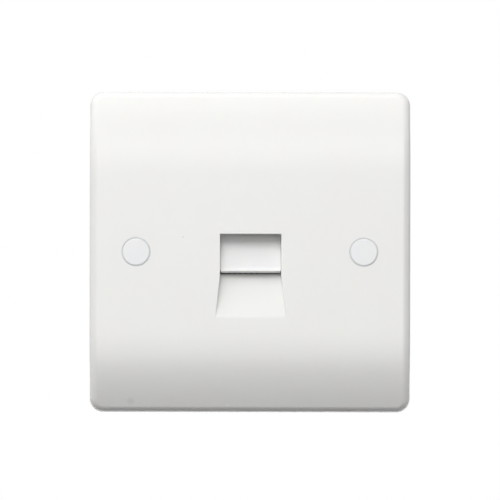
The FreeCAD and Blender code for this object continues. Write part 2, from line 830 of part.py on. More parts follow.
def contact(number):
    """A hairpin spring wire: straight through the board, round the comb's nose, and back up into
    the jack at a slope."""
    body = new_body(f"contact_{number + 1}")
    bend = "dim.contact_bend_radius"
    rise = "dim.contact_rise"
    leave_y = f"({CONTACT_BEND_Y} - {bend} * sin({rise}))"
    leave_z = f"({CONTACT_BEND_Z} + {bend} * cos({rise}))"
    tail_y = f"({BOARD_BACK} + dim.contact_tail)"
    steps = [
        (tail_y, CONTACT_LEG_Z),
        (CONTACT_BEND_Y, CONTACT_LEG_Z),
        (f"({CONTACT_BEND_Y} - {bend})", CONTACT_BEND_Z, bend, -1),
        (leave_y, leave_z, bend, -1),
        (f"({leave_y} + dim.contact_arm * cos({rise}))", f"({leave_z} + dim.contact_arm * sin({rise}))"),
    ]
    path = outline(body, "path", "YZ_Plane", steps, closed=False)
    wire = circles(body, "wire", "XZ_Plane", [("0", CONTACT_LEG_Z)], "dim.contact_diameter", f"-{tail_y}")
    pipe = body.newObject("PartDesign::AdditivePipe", f"{body.Name}_pipe")
    pipe.Profile = wire
    pipe.Spine = path
    checked(pipe, True)
    place(body, contact_x(number))
    return body


def shutter():
    """The flap, modelled hanging straight down from its hinge axis and then leant outwards: two
    knuckles on the pin, a notch between them for the spring, and a rounded lip."""
    body = new_body("shutter")
    half = f"({SHUTTER_WIDTH} / 2)"
    face = "dim.shutter_thickness / 2"
    flap = boxes(
        body, "flap", "YZ_Plane", [(f"-{face}", face, "-dim.shutter_length", "-dim.spring_notch")]
    )
    pad(body, flap, SHUTTER_WIDTH, midplane=True)
    lip = circles(body, "lip", "YZ_Plane", [("0", "-dim.shutter_length")], "2 * dim.lip_radius")
    pad(body, lip, SHUTTER_WIDTH, midplane=True)
    arm_section = (f"-{face}", face, f"-dim.spring_notch - {OVERSHOOT}", "0")
    for side, offset, flip in (("left", f"-{half}", False), ("right", half, True)):
        arm = boxes(body, f"{side}_arm", "YZ_Plane", [arm_section], offset)
        pad(body, arm, "dim.knuckle_length", flip=flip)
        knuckle = circles(
            body, f"{side}_knuckle", "YZ_Plane", [("0", "0")], "2 * dim.knuckle_radius", offset
        )
        pad(body, knuckle, "dim.knuckle_length", flip=flip)
    bore = "dim.pin_diameter + 2 * dim.pin_running_gap"
    pocket(body, circles(body, "bore", "YZ_Plane", [("0", "0")], bore), SHUTTER_WIDTH, midplane=True)
    for axis, share in zip("xyz", "100"):
        body.setExpression(f".Placement.Rotation.Axis.{axis}", share)
    body.setExpression(".Placement.Rotation.Angle", "-dim.shutter_lean")
    place(body, "dim.shutter_shift", HINGE_Y, "dim.hinge_level")
    return body


def shutter_pin():
    body = new_body("shutter_pin")
    half = JACK_HALF
    chamfer = "(dim.pin_diameter / 8)"
    radius = "(dim.pin_diameter / 2)"
    sketch = outline(
        body,
        "section",
        "XY_Plane",
        [
            (f"-{half}", "0"),
            (half, "0"),
            (half, f"({radius} - {chamfer})"),
            (f"({half} - {chamfer})", radius),
            (f"({chamfer} - {half})", radius),
            (f"-{half}", f"({radius} - {chamfer})"),
        ],
    )
    feature = body.newObject("PartDesign::Revolution", "shutter_pin_turn")
    feature.Profile = sketch
    feature.ReferenceAxis = (sketch, ["H_Axis"])
    feature.Angle = 360
    checked(feature, True)
    place(body, "0", HINGE_Y, "dim.hinge_level")
    return body


def shutter_spring():
    """A torsion spring round the pin: one leg lies down the back of the flap, the other reaches
    back to the jack's sloping roof."""
    radius = value("dim.spring_radius")
    pitch = value("dim.spring_pitch")
    start = -value("dim.shutter_lean")
    finish = value("dim.spring_roof_angle") - 90 + 360 * value("dim.spring_turns")
    turns = (finish - start) / 360
    coil = Part.makeHelix(pitch, pitch * turns, radius)
    coil.rotate(FreeCAD.Vector(), FreeCAD.Vector(0, 0, 1), start)
    # the coil's axis is turned from Z to X, and its first turn from X to Y
    coil.rotate(FreeCAD.Vector(), FreeCAD.Vector(1, 1, 1), 120)
    coil.translate(FreeCAD.Vector(-pitch * turns / 2, 0, 0))
    helix = coil.Edges[0]
    ends = []
    for parameter, length in (
        (helix.FirstParameter, -value("dim.spring_shutter_leg")),
        (helix.LastParameter, value("dim.spring_roof_leg")),
    ):
        point = helix.valueAt(parameter)
        ends.append((point, point + helix.tangentAt(parameter) * length))
    first = Part.makeLine(ends[0][1], ends[0][0])
    last = Part.makeLine(*ends[1])
    spine = Part.Wire([first] + coil.Edges + [last])
    section = Part.Wire(
        Part.makeCircle(value("dim.spring_wire") / 2, ends[0][1], first.tangentAt(first.FirstParameter))
    )
    spring = doc.addObject("Part::Feature", "shutter_spring")
    spring.Label = "shutter_spring"
    spring.Shape = spine.makePipeShell([section], True, True)
    spring.Placement.Base = FreeCAD.Vector(0, value(HINGE_Y), value("dim.hinge_level"))
    return spring


def circuit_board():
    body = new_body("circuit_board")
    half_x = "dim.board_width / 2"
    half_z = "dim.board_height / 2"
    panel = boxes(
        body, "panel", "XZ_Plane", [(f"-{half_x}", half_x, f"-{half_z}", half_z)], f"-{BOARD_BACK}"
    )
    pad(body, panel, "dim.board_thickness")
    round_edges(body, "corners", "dim.board_corner_radius", lambda edge: runs_along(edge, Y_AXIS))
    corners = [
        (f"{x}dim.board_pillar_x", f"{z}dim.board_pillar_z") for x in ("-", "") for z in ("-", "")
    ]
    drilled = f"-{BOARD_BACK} - {OVERSHOOT}"
    depth = f"dim.board_thickness + 2 * {OVERSHOOT}"
    holes = circles(body, "corner_holes", "XZ_Plane", corners, "dim.board_hole_diameter", drilled)
    pocket(body, holes, depth, flip=True)
    wire_hole = "dim.contact_diameter + 2 * dim.contact_hole_gap"
    wires = circles(body, "contact_hole", "XZ_Plane", [(contact_x("0"), CONTACT_LEG_Z)], wire_hole, drilled)
    row(body, pocket(body, wires, depth, flip=True), "X_Axis", "dim.contact_pitch", "dim.contact_count")
    lowest = terminal_z("0")
    tails = circles(
        body,
        "tail_holes",
        "XZ_Plane",
        [("-dim.block_x", lowest), ("dim.block_x", lowest)],
        "dim.tail_hole_diameter",
        drilled,
    )
    row(body, pocket(body, tails, depth, flip=True), "Z_Axis", "dim.terminal_pitch", "dim.terminal_count")
    return body


def board_screw(name, x, z):
    """A cross-recessed self-tapping screw; its shank is plain, at the thread's core."""
    body = new_body(name)
    head = "dim.board_head_height"
    head_radius = "(dim.board_head_diameter / 2)"
    shank = "(dim.board_screw_diameter / 2)"
    round_over = f"({head} / 2)"
    point = "dim.board_screw_diameter"
    turned(
        body,
        "section",
        [
            ("-dim.board_screw_length", "0"),
            (head, "0"),
            (head, f"({head_radius} - {round_over})"),
            (f"({head} - {round_over})", head_radius, round_over, -1),
            ("0", head_radius),
            ("0", shank),
            (f"({point} - dim.board_screw_length)", shank),
        ],
    )
    half = "dim.cross_width / 2"
    reach = "dim.cross_span / 2"
    for slot, (wide, tall) in (("across", (reach, half)), ("down", (half, reach))):
        rectangle = (f"-{wide}", wide, f"-{tall}", tall)
        sketch = boxes(body, f"cross_{slot}", "XZ_Plane", [rectangle], f"-{head} - {OVERSHOOT}")
        pocket(body, sketch, f"dim.cross_depth + {OVERSHOOT}", flip=True)
    place(body, x, BOARD_BACK, z)
    return body


def terminal_z(number):
    """The level of terminal 0, 1, 2 ... of a block, from the bottom."""
    return f"(({number} - (dim.terminal_count - 1) / 2) * dim.terminal_pitch)"


def terminal_block(name, x):
    """A moulded block on the board, with a cross slot and a blade pocket for each terminal."""
    body = new_body(name)
    half_x = "dim.block_width / 2"
    half_z = "((dim.terminal_count - 1) * dim.terminal_pitch / 2 + dim.block_end_wall)"
    solid = boxes(
        body, "block", "XZ_Plane", [(f"-{half_x}", half_x, f"-{half_z}", half_z)], "-dim.block_height"
    )
    pad(body, solid, "dim.block_height")

    def top_edge(edge):
        return middle_of(edge).y > value("dim.block_height") - SMALL

    round_edges(body, "top_edges", "dim.block_edge_radius", top_edge)
    above = f"-dim.block_height - {OVERSHOOT}"
    lowest = terminal_z("0")
    cuts = [
        ("wire_slot", half_x + f" + {OVERSHOOT}", "dim.wire_slot_width / 2", "dim.wire_slot_depth"),
        (
            "blade_pocket",
            "(dim.blade_thickness / 2 + dim.blade_gap)",
            "(dim.blade_width / 2 + dim.blade_gap)",
            "(dim.block_height - dim.block_base)",
        ),
        (
            "tail_hole",
            "(dim.blade_thickness / 2 + dim.blade_gap)",
            "(dim.blade_tail_width / 2 + dim.blade_gap)",
            f"(dim.block_height + {OVERSHOOT})",
        ),
    ]
    for cut, reach_x, reach_z, depth in cuts:
        sketch = boxes(
            body,
            cut,
            "XZ_Plane",
            [(f"-({reach_x})", reach_x, f"{lowest} - {reach_z}", f"{lowest} + {reach_z}")],
            above,
        )
        first = pocket(body, sketch, f"{depth} + {OVERSHOOT}", flip=True)
        row(body, first, "Z_Axis", "dim.terminal_pitch", "dim.terminal_count")
    place(body, x, BOARD_BACK)
    return body


def terminal_blade(number, x, z):
    """A forked blade that cuts through a conductor's insulation, with a tail through the board."""
    body = new_body(f"terminal_blade_{number}")
    half = "dim.blade_width / 2"
    tail = "dim.blade_tail_width / 2"
    slot = "dim.blade_slot / 2"
    mouth = "dim.blade_mouth / 2"
    foot = "(dim.block_base + dim.blade_gap)"
    top = f"({foot} + dim.blade_height)"
    slot_foot = f"({top} - dim.blade_slot_depth)"
    mouth_foot = f"({top} - dim.blade_mouth_depth)"
    end = "(-dim.board_thickness - dim.blade_tail_reach)"
    sketch = outline(
        body,
        "fork",
        "YZ_Plane",
        [
            (end, f"-{tail}"),
            (foot, f"-{tail}"),
            (foot, f"-{half}"),
            (top, f"-{half}"),
            (top, f"-{mouth}"),
            (mouth_foot, f"-{slot}"),
            (slot_foot, f"-{slot}"),
            (slot_foot, slot),
            (mouth_foot, slot),
            (top, mouth),
            (top, half),
            (foot, half),
            (foot, tail),
            (end, tail),
        ],
    )
    pad(body, sketch, "dim.blade_thickness", midplane=True)
    place(body, x, BOARD_BACK, z)
    return body


parts = [
    front_plate(),
    screw_cap("screw_cap_left", f"-{FIXING_X}"),
    screw_cap("screw_cap_right", FIXING_X),
    fixing_screw("fixing_screw_left", f"-{FIXING_X}"),
    fixing_screw("fixing_screw_right", FIXING_X),
    jack_housing(),
    contact_carrier(),
    shutter(),
    shutter_pin(),
    shutter_spring(),
    circuit_board(),
    board_screw("board_screw_upper", "-dim.board_pillar_x", "dim.board_pillar_z"),
    board_screw("board_screw_lower", "dim.board_pillar_x", "-dim.board_pillar_z"),
]
parts += [contact(number) for number in range(int(value("dim.contact_count")))]
terminals = int(value("dim.terminal_count"))
for side, (side_name, side_x) in enumerate((("left", "-dim.block_x"), ("right", "dim.block_x"))):
    parts.append(terminal_block(f"terminal_block_{side_name}", side_x))
    for place_number in range(terminals):
        blade_number = side * terminals + place_number + 1
        parts.append(terminal_blade(blade_number, side_x, terminal_z(str(terminals - 1 - place_number))))

doc.recompute()
for item in doc.Objects:
    if {"Invalid", "Error"} & set(item.State):
        raise RuntimeError(f"{item.Name} did not build: {item.State}")
os.makedirs("parts", exist_ok=True)
for part in parts:
    shape = part.Shape
    if shape.isNull() or not shape.isValid():
        raise RuntimeError(f"{part.Label} has no sound shape")
    shape.exportStep(f"parts/{part.Label}.step")
    print(f"{part.Label}: {len(shape.Solids)} solid, {shape.Volume:.2f} mm3")
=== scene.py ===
from contextlib import contextmanager
import json
import math

import bmesh
import bpy
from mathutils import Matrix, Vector


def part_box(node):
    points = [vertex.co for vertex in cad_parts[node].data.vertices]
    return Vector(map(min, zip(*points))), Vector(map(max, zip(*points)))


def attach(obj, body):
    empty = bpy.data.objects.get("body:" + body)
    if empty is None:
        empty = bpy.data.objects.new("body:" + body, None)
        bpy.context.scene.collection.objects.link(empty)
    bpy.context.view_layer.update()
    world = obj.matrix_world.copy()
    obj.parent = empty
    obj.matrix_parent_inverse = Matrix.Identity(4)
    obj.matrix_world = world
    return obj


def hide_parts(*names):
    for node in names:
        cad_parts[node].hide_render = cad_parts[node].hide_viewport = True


# A white flush telephone wall socket, seen from straight in front on a white ground.
# Sizes and places are millimetres in the frame of the CAD: +X right, +Z up, -Y out of the wall.
MM = 0.001

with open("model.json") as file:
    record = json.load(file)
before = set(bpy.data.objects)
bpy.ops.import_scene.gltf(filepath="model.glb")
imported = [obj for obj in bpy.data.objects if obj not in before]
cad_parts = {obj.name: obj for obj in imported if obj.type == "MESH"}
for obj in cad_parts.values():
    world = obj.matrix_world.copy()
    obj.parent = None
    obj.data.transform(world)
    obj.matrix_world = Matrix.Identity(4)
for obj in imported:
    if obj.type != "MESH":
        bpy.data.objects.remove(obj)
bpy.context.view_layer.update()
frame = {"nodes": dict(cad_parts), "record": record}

# The plate. BEYOND is how far a cutter runs past what it cuts, NEAR how close counts as equal.
PLATE = 86.0
FACE = -10.0
FACE_WALL = 3.0
RIM_WALL = 2.6
FLAT_HALF = 21.0
BEND = 52.0
BEND_STEP = 1.5
CORNER = 3.6
HOLLOW_CORNER = 1.6
RIM_ROUND = 2.2
SIDE_DRAFT = 0.55
WEB = 1.6
WEB_HEIGHT = 4.0
BEYOND = 1.0
NEAR = 0.01

# The plug opening and the finger ramp below it
OPENING_MIDDLE = 0.15
OPENING_HALF = 8.1
OPENING_TOP = 4.8
SILL = -5.85
SILL_DEPTH = 3.99
RAMP_WALL = 2.3
RAMP_SIDE_WALL = 2.0
RAMP_FOOT = -16.8
FOOT_HALF = 9.35
FOOT_ROUND = 5.0
OPENING_ROUND = 0.45
OPENING_TOP_SHARE = 0.5
OPENING_LEFT_SHARE = 0.15

# The fixings and their caps; the cap's edge is (depth, distance in from its side)
FIXING_X = 30.15
WELL_RADIUS = 3.79
WELL_ROUND = 0.06
PILLAR_WALL = 1.91
SCREW_SEAT = -4.0
FIXING_HOLE = 1.9
CAP_GAP = 0.01
CAP_PROUD = 0.1
CAP_FACE = 1.3
CAP_DEPTH = 3.0
CAP_SKIRT = 0.8
CAP_SLOT = 1.6
CAP_SLOPE = ((0, 0.5), (0.02, 0.44), (0.19, 0.1), (0.23, 0.03), (0.28, 0))

# The jack, the shutter and the board behind the plate. WIRE_SEATED is how much closer to the
# comb the wires lie than the solids do, which keep a gap of 0.15 there.
SURROUND_GAP = 0.15
SURROUND_WALL = 1.4
SURROUND_HEIGHT = 3.0
PILLAR_X = 16.0
PILLAR_Z = 12.5
PILLAR_RADIUS = 3.25
PILOT_RADIUS = 1.25
PILOT_DEPTH = 9.0
PEG_RADIUS = 1.45
PEG_PROUD = 1.0
SHUTTER_LEAN = 15.5
SHUTTER_THICKNESS = 1.0
SHUTTER_GAP = 0.02
LIP_TOP = 11.8
LIP_END = 12.9
LIP_FALL = 0.2
LIP_DEPTH = 1.35
LIP_SLANT = 0.35
LIP_END_ROUND = 0.5
LIP_EASE = 0.12
SHUTTER_EASE = 0.07
KNUCKLE_RADIUS = 1.4
KNUCKLE_LENGTH = 4.4
NOTCH = 2.05
BORE = 0.65
SPRING_RADIUS = 0.85
SPRING_WIRE = 0.35
SPRING_PITCH = 0.45
SPRING_TURNS = 3
SPRING_FLAP_LEG = 4.5
SPRING_ROOF_LEG = 2.9
SPRING_ROOF_ANGLE = 15
WIRE_RADIUS = 0.25
WIRE_BEND = 1.4
WIRE_RISE = 10
WIRE_ARM = 9.5
WIRE_TIP = 0.1
WIRE_SEATED = 0.14
CONTACT_COUNT = 6
TERMINAL_PITCH = 5.0

# The screws: neck, core and crest are radii
FIXING_NECK = 1.55
FIXING_CORE = 1.42
FIXING_CREST = 1.75
FIXING_THREAD_PITCH = 0.6
FIXING_SLOT = 1.0
FIXING_SLOT_DEPTH = 1.1
BOARD_SCREW_CORE = 1.1
BOARD_SCREW_CREST = 1.2
BOARD_SCREW_PITCH = 1.0
BOARD_SCREW_POINT = 2.0
CROSS_REACH = 1.5
CROSS_WIDTH = 0.9
CROSS_DEPTH = 1.1

# What is on the board: half widths, and the joints' (height, radius) from the board outwards
TRACK_HALF = 0.38
TRACK_FLATNESS = 0.12
WIRE_JOINT = ((0, 0.62), (0.08, 0.6), (0.3, 0.42), (0.8, 0.3), (0.9, 0.1))
BLADE_JOINT = ((0, 1.1), (0.08, 1.08), (0.35, 0.75), (0.85, 0.5), (0.95, 0.2))
NUMBER_HEIGHT = 2.2
NUMBER_ASIDE = 1.6
INK_THICKNESS = 0.01

# The camera, from the photo's scale and its slight perspective
CAMERA_DISTANCE = 620.0
SENSOR = 36.0
SEEN_WIDTH = 132.32
CAMERA_RAISE = 0.58
CAMERA_ROLL = -0.12
FLOOR_LEVEL = -240.0


def span(node):
    """The lowest and highest corner of a node, in millimetres."""
    low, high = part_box(node)
    return Vector(low) / MM, Vector(high) / MM


HINGE = Vector(frame["record"]["behaviour"]["joints"][0]["pos_m"]) / MM
JACK_HIGH = span("jack_housing")[1]
BOARD_LOW, BOARD_HIGH = span("circuit_board")
SHUTTER_LOW, SHUTTER_HIGH = span("shutter")
BLOCK_LOW, BLOCK_HIGH = span("terminal_block_right")
FACE_BACK = FACE + FACE_WALL
PILLAR_ROOT = FACE + FACE_WALL / 2
RAMP_SLOPE = SILL_DEPTH / (SILL - RAMP_FOOT)
RAMP_EASING = FOOT_ROUND * math.tan(math.atan(RAMP_SLOPE) / 2)
RAMP_END = RAMP_FOOT - RAMP_EASING
ARC_START = RAMP_FOOT + RAMP_EASING * math.cos(math.atan(RAMP_SLOPE))


# Modelling by hand, step by step

def activate(obj):
    bpy.ops.object.select_all(action="DESELECT")
    obj.select_set(True)
    bpy.context.view_layer.objects.active = obj


@contextmanager
def editing(obj):
    """Edit mode on one object, with nothing selected."""
    activate(obj)
    bpy.ops.object.mode_set(mode="EDIT")
    bpy.ops.mesh.select_mode(type="VERT")
    bpy.ops.mesh.select_all(action="DESELECT")
    yield
    bpy.ops.object.mode_set(mode="OBJECT")


def middle(element):
    """The middle of a vertex, edge or face, in millimetres."""
    if isinstance(element, bmesh.types.BMVert):
        return element.co / MM
    return sum((vert.co for vert in element.verts), Vector()) / len(element.verts) / MM


def pick(obj, kind, wanted):
    """Select the verts, edges or faces that pass a test on their middle and on themselves."""
    bpy.ops.mesh.select_mode(type={"verts": "VERT", "edges": "EDGE", "faces": "FACE"}[kind])
    bpy.ops.mesh.select_all(action="DESELECT")
    mesh = bmesh.from_edit_mesh(obj.data)
    for element in getattr(mesh, kind):
        if wanted(middle(element), element):
            element.select_set(True)
    mesh.select_flush_mode()
    bmesh.update_edit_mesh(obj.data)


def settle(name):
    """Name the object just added, and put its place and turn into its mesh."""
    obj = bpy.context.object
    obj.name = obj.data.name = name
    activate(obj)
    bpy.ops.object.transform_apply(location=True, rotation=True, scale=True)
    return obj


def block(name, low, high):
    """A block between two corners."""
    low, high = Vector(low), Vector(high)
    bpy.ops.object.select_all(action="DESELECT")
    bpy.ops.mesh.primitive_cube_add(size=1, location=(low + high) / 2 * MM, scale=(high - low) * MM)
    return settle(name)


def turned(name, x, z, profile, sides=64):
    """A disc extruded along Y from one radius to the next; profile is (y, radius) points."""
    y, radius = profile[0]
    bpy.ops.object.select_all(action="DESELECT")
    bpy.ops.mesh.primitive_circle_add(
        vertices=sides,
        radius=radius * MM,
        fill_type="NGON",
        location=Vector((x, y, z)) * MM,
        rotation=(math.pi / 2, 0, 0),
    )
    obj = settle(name)
    with editing(obj):
        bpy.ops.mesh.select_all(action="SELECT")
        for next_y, next_radius in profile[1:]:
            step = (0, (next_y - y) * MM, 0)
            bpy.ops.mesh.extrude_region_move(TRANSFORM_OT_translate={"value": step})
            share = next_radius / radius
            centre = Vector((x, next_y, z)) * MM
            bpy.ops.transform.resize(value=(share, 1, share), center_override=centre)
            y, radius = next_y, next_radius
        bpy.ops.mesh.select_all(action="SELECT")
        bpy.ops.mesh.normals_make_consistent(inside=False)
    return obj


def quarter(y, radius, size, start, end, steps=6):
    """Points (y, radius) of an arc about a centre; 0 degrees points away from the axis and 90
    to +Y."""
    points = []
    for step in range(steps + 1):
        angle = math.radians(start + (end - start) * step / steps)
        points.append((y + size * math.sin(angle), radius + size * math.cos(angle)))
    return points


def rod_along_x(name, y, z, radius, low, high, sides=40):
    bpy.ops.object.select_all(action="DESELECT")
    bpy.ops.mesh.primitive_cylinder_add(
        vertices=sides,
        radius=radius * MM,
        depth=(high - low) * MM,
        location=Vector(((low + high) / 2, y, z)) * MM,
        rotation=(0, math.pi / 2, 0),
    )
    return settle(name)


def bevel(obj, width, segments, wanted):
    """Round the edges that pass the test."""
    with editing(obj):
        pick(obj, "edges", wanted)
        bpy.ops.mesh.bevel(offset=width * MM, segments=segments, profile=0.5, clamp_overlap=True)


def sharp(edge, degrees=40):
    return len(edge.link_faces) == 2 and edge.calc_face_angle() > math.radians(degrees)


def apply_modifier(obj, name, kind, **settings):
    modifier = obj.modifiers.new(name, kind)
    for key, value in settings.items():
        setattr(modifier, key, value)
    activate(obj)
    bpy.ops.object.modifier_apply(modifier=modifier.name)


def combine(obj, tool, operation):
    apply_modifier(obj, "combine", "BOOLEAN", operation=operation, solver="EXACT", object=tool)
    bpy.data.objects.remove(tool, do_unlink=True)


def grow(obj, *tools):
    for tool in tools:
        combine(obj, tool, "UNION")


def cut(obj, *tools):
    for tool in tools:
        combine(obj, tool, "DIFFERENCE")


def join(name, pieces):
    """Several closed shells as one object."""
    bpy.ops.object.select_all(action="DESELECT")
    for piece in pieces:
        piece.select_set(True)
    bpy.context.view_layer.objects.active = pieces[0]
    if len(pieces) > 1:
        bpy.ops.object.join()
    pieces[0].name = pieces[0].data.name = name
    return pieces[0]


def softened(node, width, segments=2):
    """A node's own shape, merged into whole faces, with its sharp edges eased."""
    obj = bpy.data.objects.new(f"{node}_eased", frame["nodes"][node].data.copy())
    bpy.context.scene.collection.objects.link(obj)
    with editing(obj):
        bpy.ops.mesh.select_all(action="SELECT")
        bpy.ops.mesh.remove_doubles(threshold=MM / 1000)
        bpy.ops.mesh.dissolve_limited(angle_limit=math.radians(0.5))
    apply_modifier(
        obj,
        "ease",
        "BEVEL",
        width=width * MM,
        segments=segments,
        limit_method="ANGLE",
        angle_limit=math.radians(35),
        use_clamp_overlap=True,
    )
    return obj


def finished(obj, body, material, slot, *nodes, angle=32):
    """Smooth shading, its material, and its place in the frame."""
    activate(obj)
    bpy.ops.object.shade_smooth_by_angle(angle=math.radians(angle))
    apply_modifier(obj, "normals", "WEIGHTED_NORMAL", keep_sharp=True, weight=50)
    obj.data.materials.clear()
    obj.data.materials.append(material)
    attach(obj, body)
    if nodes:
        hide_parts(*nodes)
    return obj


# Materials

def linear(code):
    """An sRGB hex colour as the linear red, green, blue and alpha that shaders take."""
    shares = [int(code[i : i + 2], 16) / 255 for i in (1, 3, 5)]
    return [s / 12.92 if s <= 0.04045 else ((s + 0.055) / 1.055) ** 2.4 for s in shares] + [1.0]


def add_node(tree, kind, settings=None, **inputs):
    """A shader node with its settings and its inputs, each a value or another node's output. An
    input is named with _ for a space, or by its number, as i0."""
    node = tree.nodes.new(kind)
    for key, value in (settings or {}).items():
        setattr(node, key, value)
    for key, value in inputs.items():
        numbered = key[0] == "i" and key[1:].isdigit()
        socket = node.inputs[int(key[1:]) if numbered else key.replace("_", " ")]
        if isinstance(value, bpy.types.NodeSocket):
            tree.links.new(value, socket)
        else:
            socket.default_value = value
    return node


def new_material(name):
    material = bpy.data.materials.new(name)
    material.use_nodes = True
    material.node_tree.nodes.clear()
    return material, material.node_tree


def noise_of(tree, place, size, detail=2.0):
    """Noise whose lumps are about this many millimetres across."""
    noise = add_node(tree, "ShaderNodeTexNoise", Vector=place, Scale=1 / (size * MM), Detail=detail)
    return noise.outputs["Fac"]


def ranged(tree, value, low, high, start=0.3, end=0.7):
    """A value taken from one range to another and held there."""
    settings = {"interpolation_type": "SMOOTHSTEP"}
    limits = {"From_Min": start, "From_Max": end, "To_Min": low, "To_Max": high}
    return add_node(tree, "ShaderNodeMapRange", settings, Value=value, **limits).outputs["Result"]


def blend_colours(tree, share, first, second):
    settings = {"data_type": "RGBA"}
    return add_node(tree, "ShaderNodeMix", settings, i0=share, i6=first, i7=second).outputs[2]


def bumped(tree, height, depth):
    """Relief whose full height is this many millimetres."""
    return add_node(tree, "ShaderNodeBump", Height=height, Distance=depth * MM).outputs["Normal"]


def moulded(name, colour, shade, roughness, skin, relief, glow, specks=()):
    """A moulded plastic: a faint drift between two tones, a skin with small lumps, and some light
    that travels under the surface. Each speck is (x, z, radius, colour) on the face."""
    material, tree = new_material(name)
    place = add_node(tree, "ShaderNodeTexCoord").outputs["Object"]
    drift = ranged(tree, noise_of(tree, place, 14.0), 0.0, 1.0)
    tone = blend_colours(tree, drift, linear(colour), linear(shade))
    flat = add_node(tree, "ShaderNodeVectorMath", {"operation": "MULTIPLY"}, i0=place, i1=(1, 0, 1))
    for x, z, radius, speck in specks:
        ends = {"i0": flat.outputs[0], "i1": Vector((x, 0, z)) * MM}
        far = add_node(tree, "ShaderNodeVectorMath", {"operation": "DISTANCE"}, **ends)
        share = ranged(tree, far.outputs["Value"], 1.0, 0.0, radius * MM / 3, radius * MM)
        tone = blend_colours(tree, share, tone, linear(speck))
    lumps = noise_of(tree, place, skin, 3.0)
    polish = noise_of(tree, place, 9.0, 4.0)
    shader = add_node(
        tree,
        "ShaderNodeBsdfPrincipled",
        Base_Color=tone,
        Roughness=ranged(tree, polish, roughness - 0.003, roughness + 0.004),
        IOR=1.5,
        Subsurface_Weight=glow,
        Subsurface_Radius=(1.0, 0.9, 0.75),
        Subsurface_Scale=1.2 * MM,
        Normal=bumped(tree, lumps, relief),
    )
    add_node(tree, "ShaderNodeOutputMaterial", Surface=shader.outputs[0])
    return material


def metal(name, colour, shade, roughness, grain, relief):
    """A bright metal: two tones in small patches and fine lines along the grain, which is
    (x, y, z) millimetres per line."""
    material, tree = new_material(name)
    place = add_node(tree, "ShaderNodeTexCoord").outputs["Object"]
    stretch = [1 / (step * MM) for step in grain]
    along = add_node(tree, "ShaderNodeMapping", Vector=place, Scale=stretch).outputs[0]
    noise = add_node(tree, "ShaderNodeTexNoise", Vector=along, Scale=1.0, Detail=3.0)
    lines = noise.outputs["Fac"]
    patches = ranged(tree, noise_of(tree, place, 1.5, 3.0), 0.0, 1.0)
    shader = add_node(
        tree,
        "ShaderNodeBsdfPrincipled",
        Base_Color=blend_colours(tree, patches, linear(colour), linear(shade)),
        Metallic=1.0,
        Roughness=ranged(tree, lines, roughness - 0.08, roughness + 0.1),
        Normal=bumped(tree, lines, relief),
    )
    add_node(tree, "ShaderNodeOutputMaterial", Surface=shader.outputs[0])
    return material


def glass_epoxy():
    """Glass-epoxy laminate under green solder resist: the resist is glossy with a faint weave, and
    the sawn edges show the yellowish glass cloth."""
    material, tree = new_material("glass_epoxy_laminated")
    place = add_node(tree, "ShaderNodeTexCoord").outputs["Object"]
    thread = 2 * math.pi / (0.6 * MM)
    waves = add_node(tree, "ShaderNodeVectorMath", {"operation": "SCALE"}, i0=place, Scale=thread)
    sines = add_node(tree, "ShaderNodeVectorMath", {"operation": "SINE"}, i0=waves.outputs[0])
    parts = add_node(tree, "ShaderNodeSeparateXYZ", i0=sines.outputs[0])
    across, up = parts.outputs[0], parts.outputs[2]
    weave = add_node(tree, "ShaderNodeMath", {"operation": "MULTIPLY"}, i0=across, i1=up)
    normal = add_node(tree, "ShaderNodeNewGeometry").outputs["Normal"]
    facing = add_node(tree, "ShaderNodeSeparateXYZ", i0=normal)
    flatness = add_node(tree, "ShaderNodeMath", {"operation": "ABSOLUTE"}, i0=facing.outputs[1])
    on_face = ranged(tree, flatness.outputs[0], 0.0, 1.0, 0.6, 0.8)
    woven = ranged(tree, weave.outputs[0], 0.0, 1.0, -1.0, 1.0)
    resist = blend_colours(tree, woven, linear("#17512C"), linear("#1D5C34"))
    shader = add_node(
        tree,
        "ShaderNodeBsdfPrincipled",
        Base_Color=blend_colours(tree, on_face, linear("#B9B27C"), resist),
        Roughness=ranged(tree, on_face, 0.6, 0.28, 0.0, 1.0),
        IOR=1.5,
        Normal=bumped(tree, woven, 0.004),
    )
    add_node(tree, "ShaderNodeOutputMaterial", Surface=shader.outputs[0])
    return material


def seen_rays(tree):
    """1 for what the camera sees, straight, mirrored or through glass, and 0 for other light."""
    path = add_node(tree, "ShaderNodeLightPath").outputs
    seen = path["Is Camera Ray"]
    for kind in ("Is Glossy Ray", "Is Transmission Ray"):
        larger = add_node(tree, "ShaderNodeMath", {"operation": "MAXIMUM"}, i0=seen, i1=path[kind])
        seen = larger.outputs[0]
    return seen


def studio_floor():
    """Matt white paper that keeps a soft shadow near the object and fades to plain white."""
    material, tree = new_material("studio_paper_matt")
    place = add_node(tree, "ShaderNodeTexCoord").outputs["Object"]
    kind = "ShaderNodeVectorMath"
    level = add_node(tree, kind, {"operation": "MULTIPLY"}, i0=place, i1=(1, 1, 0))
    far = add_node(tree, kind, {"operation": "LENGTH"}, i0=level.outputs[0])
    share = ranged(tree, far.outputs["Value"], 0.6, 0.0, 0.05, 0.4)
    paper = add_node(tree, "ShaderNodeBsdfDiffuse", Color=linear("#F6F6F6"))
    white = add_node(tree, "ShaderNodeEmission", Color=linear("#FFFFFF"), Strength=1.0)
    lit = add_node(tree, "ShaderNodeMixShader", Fac=share, i1=white.outputs[0], i2=paper.outputs[0])
    dull = add_node(tree, "ShaderNodeBsdfDiffuse", Color=linear("#7A7A7A"))
    shares = {"Fac": seen_rays(tree), "i1": dull.outputs[0], "i2": lit.outputs[0]}
    surface = add_node(tree, "ShaderNodeMixShader", **shares)
    add_node(tree, "ShaderNodeOutputMaterial", Surface=surface.outputs[0])
    return material


# The plate

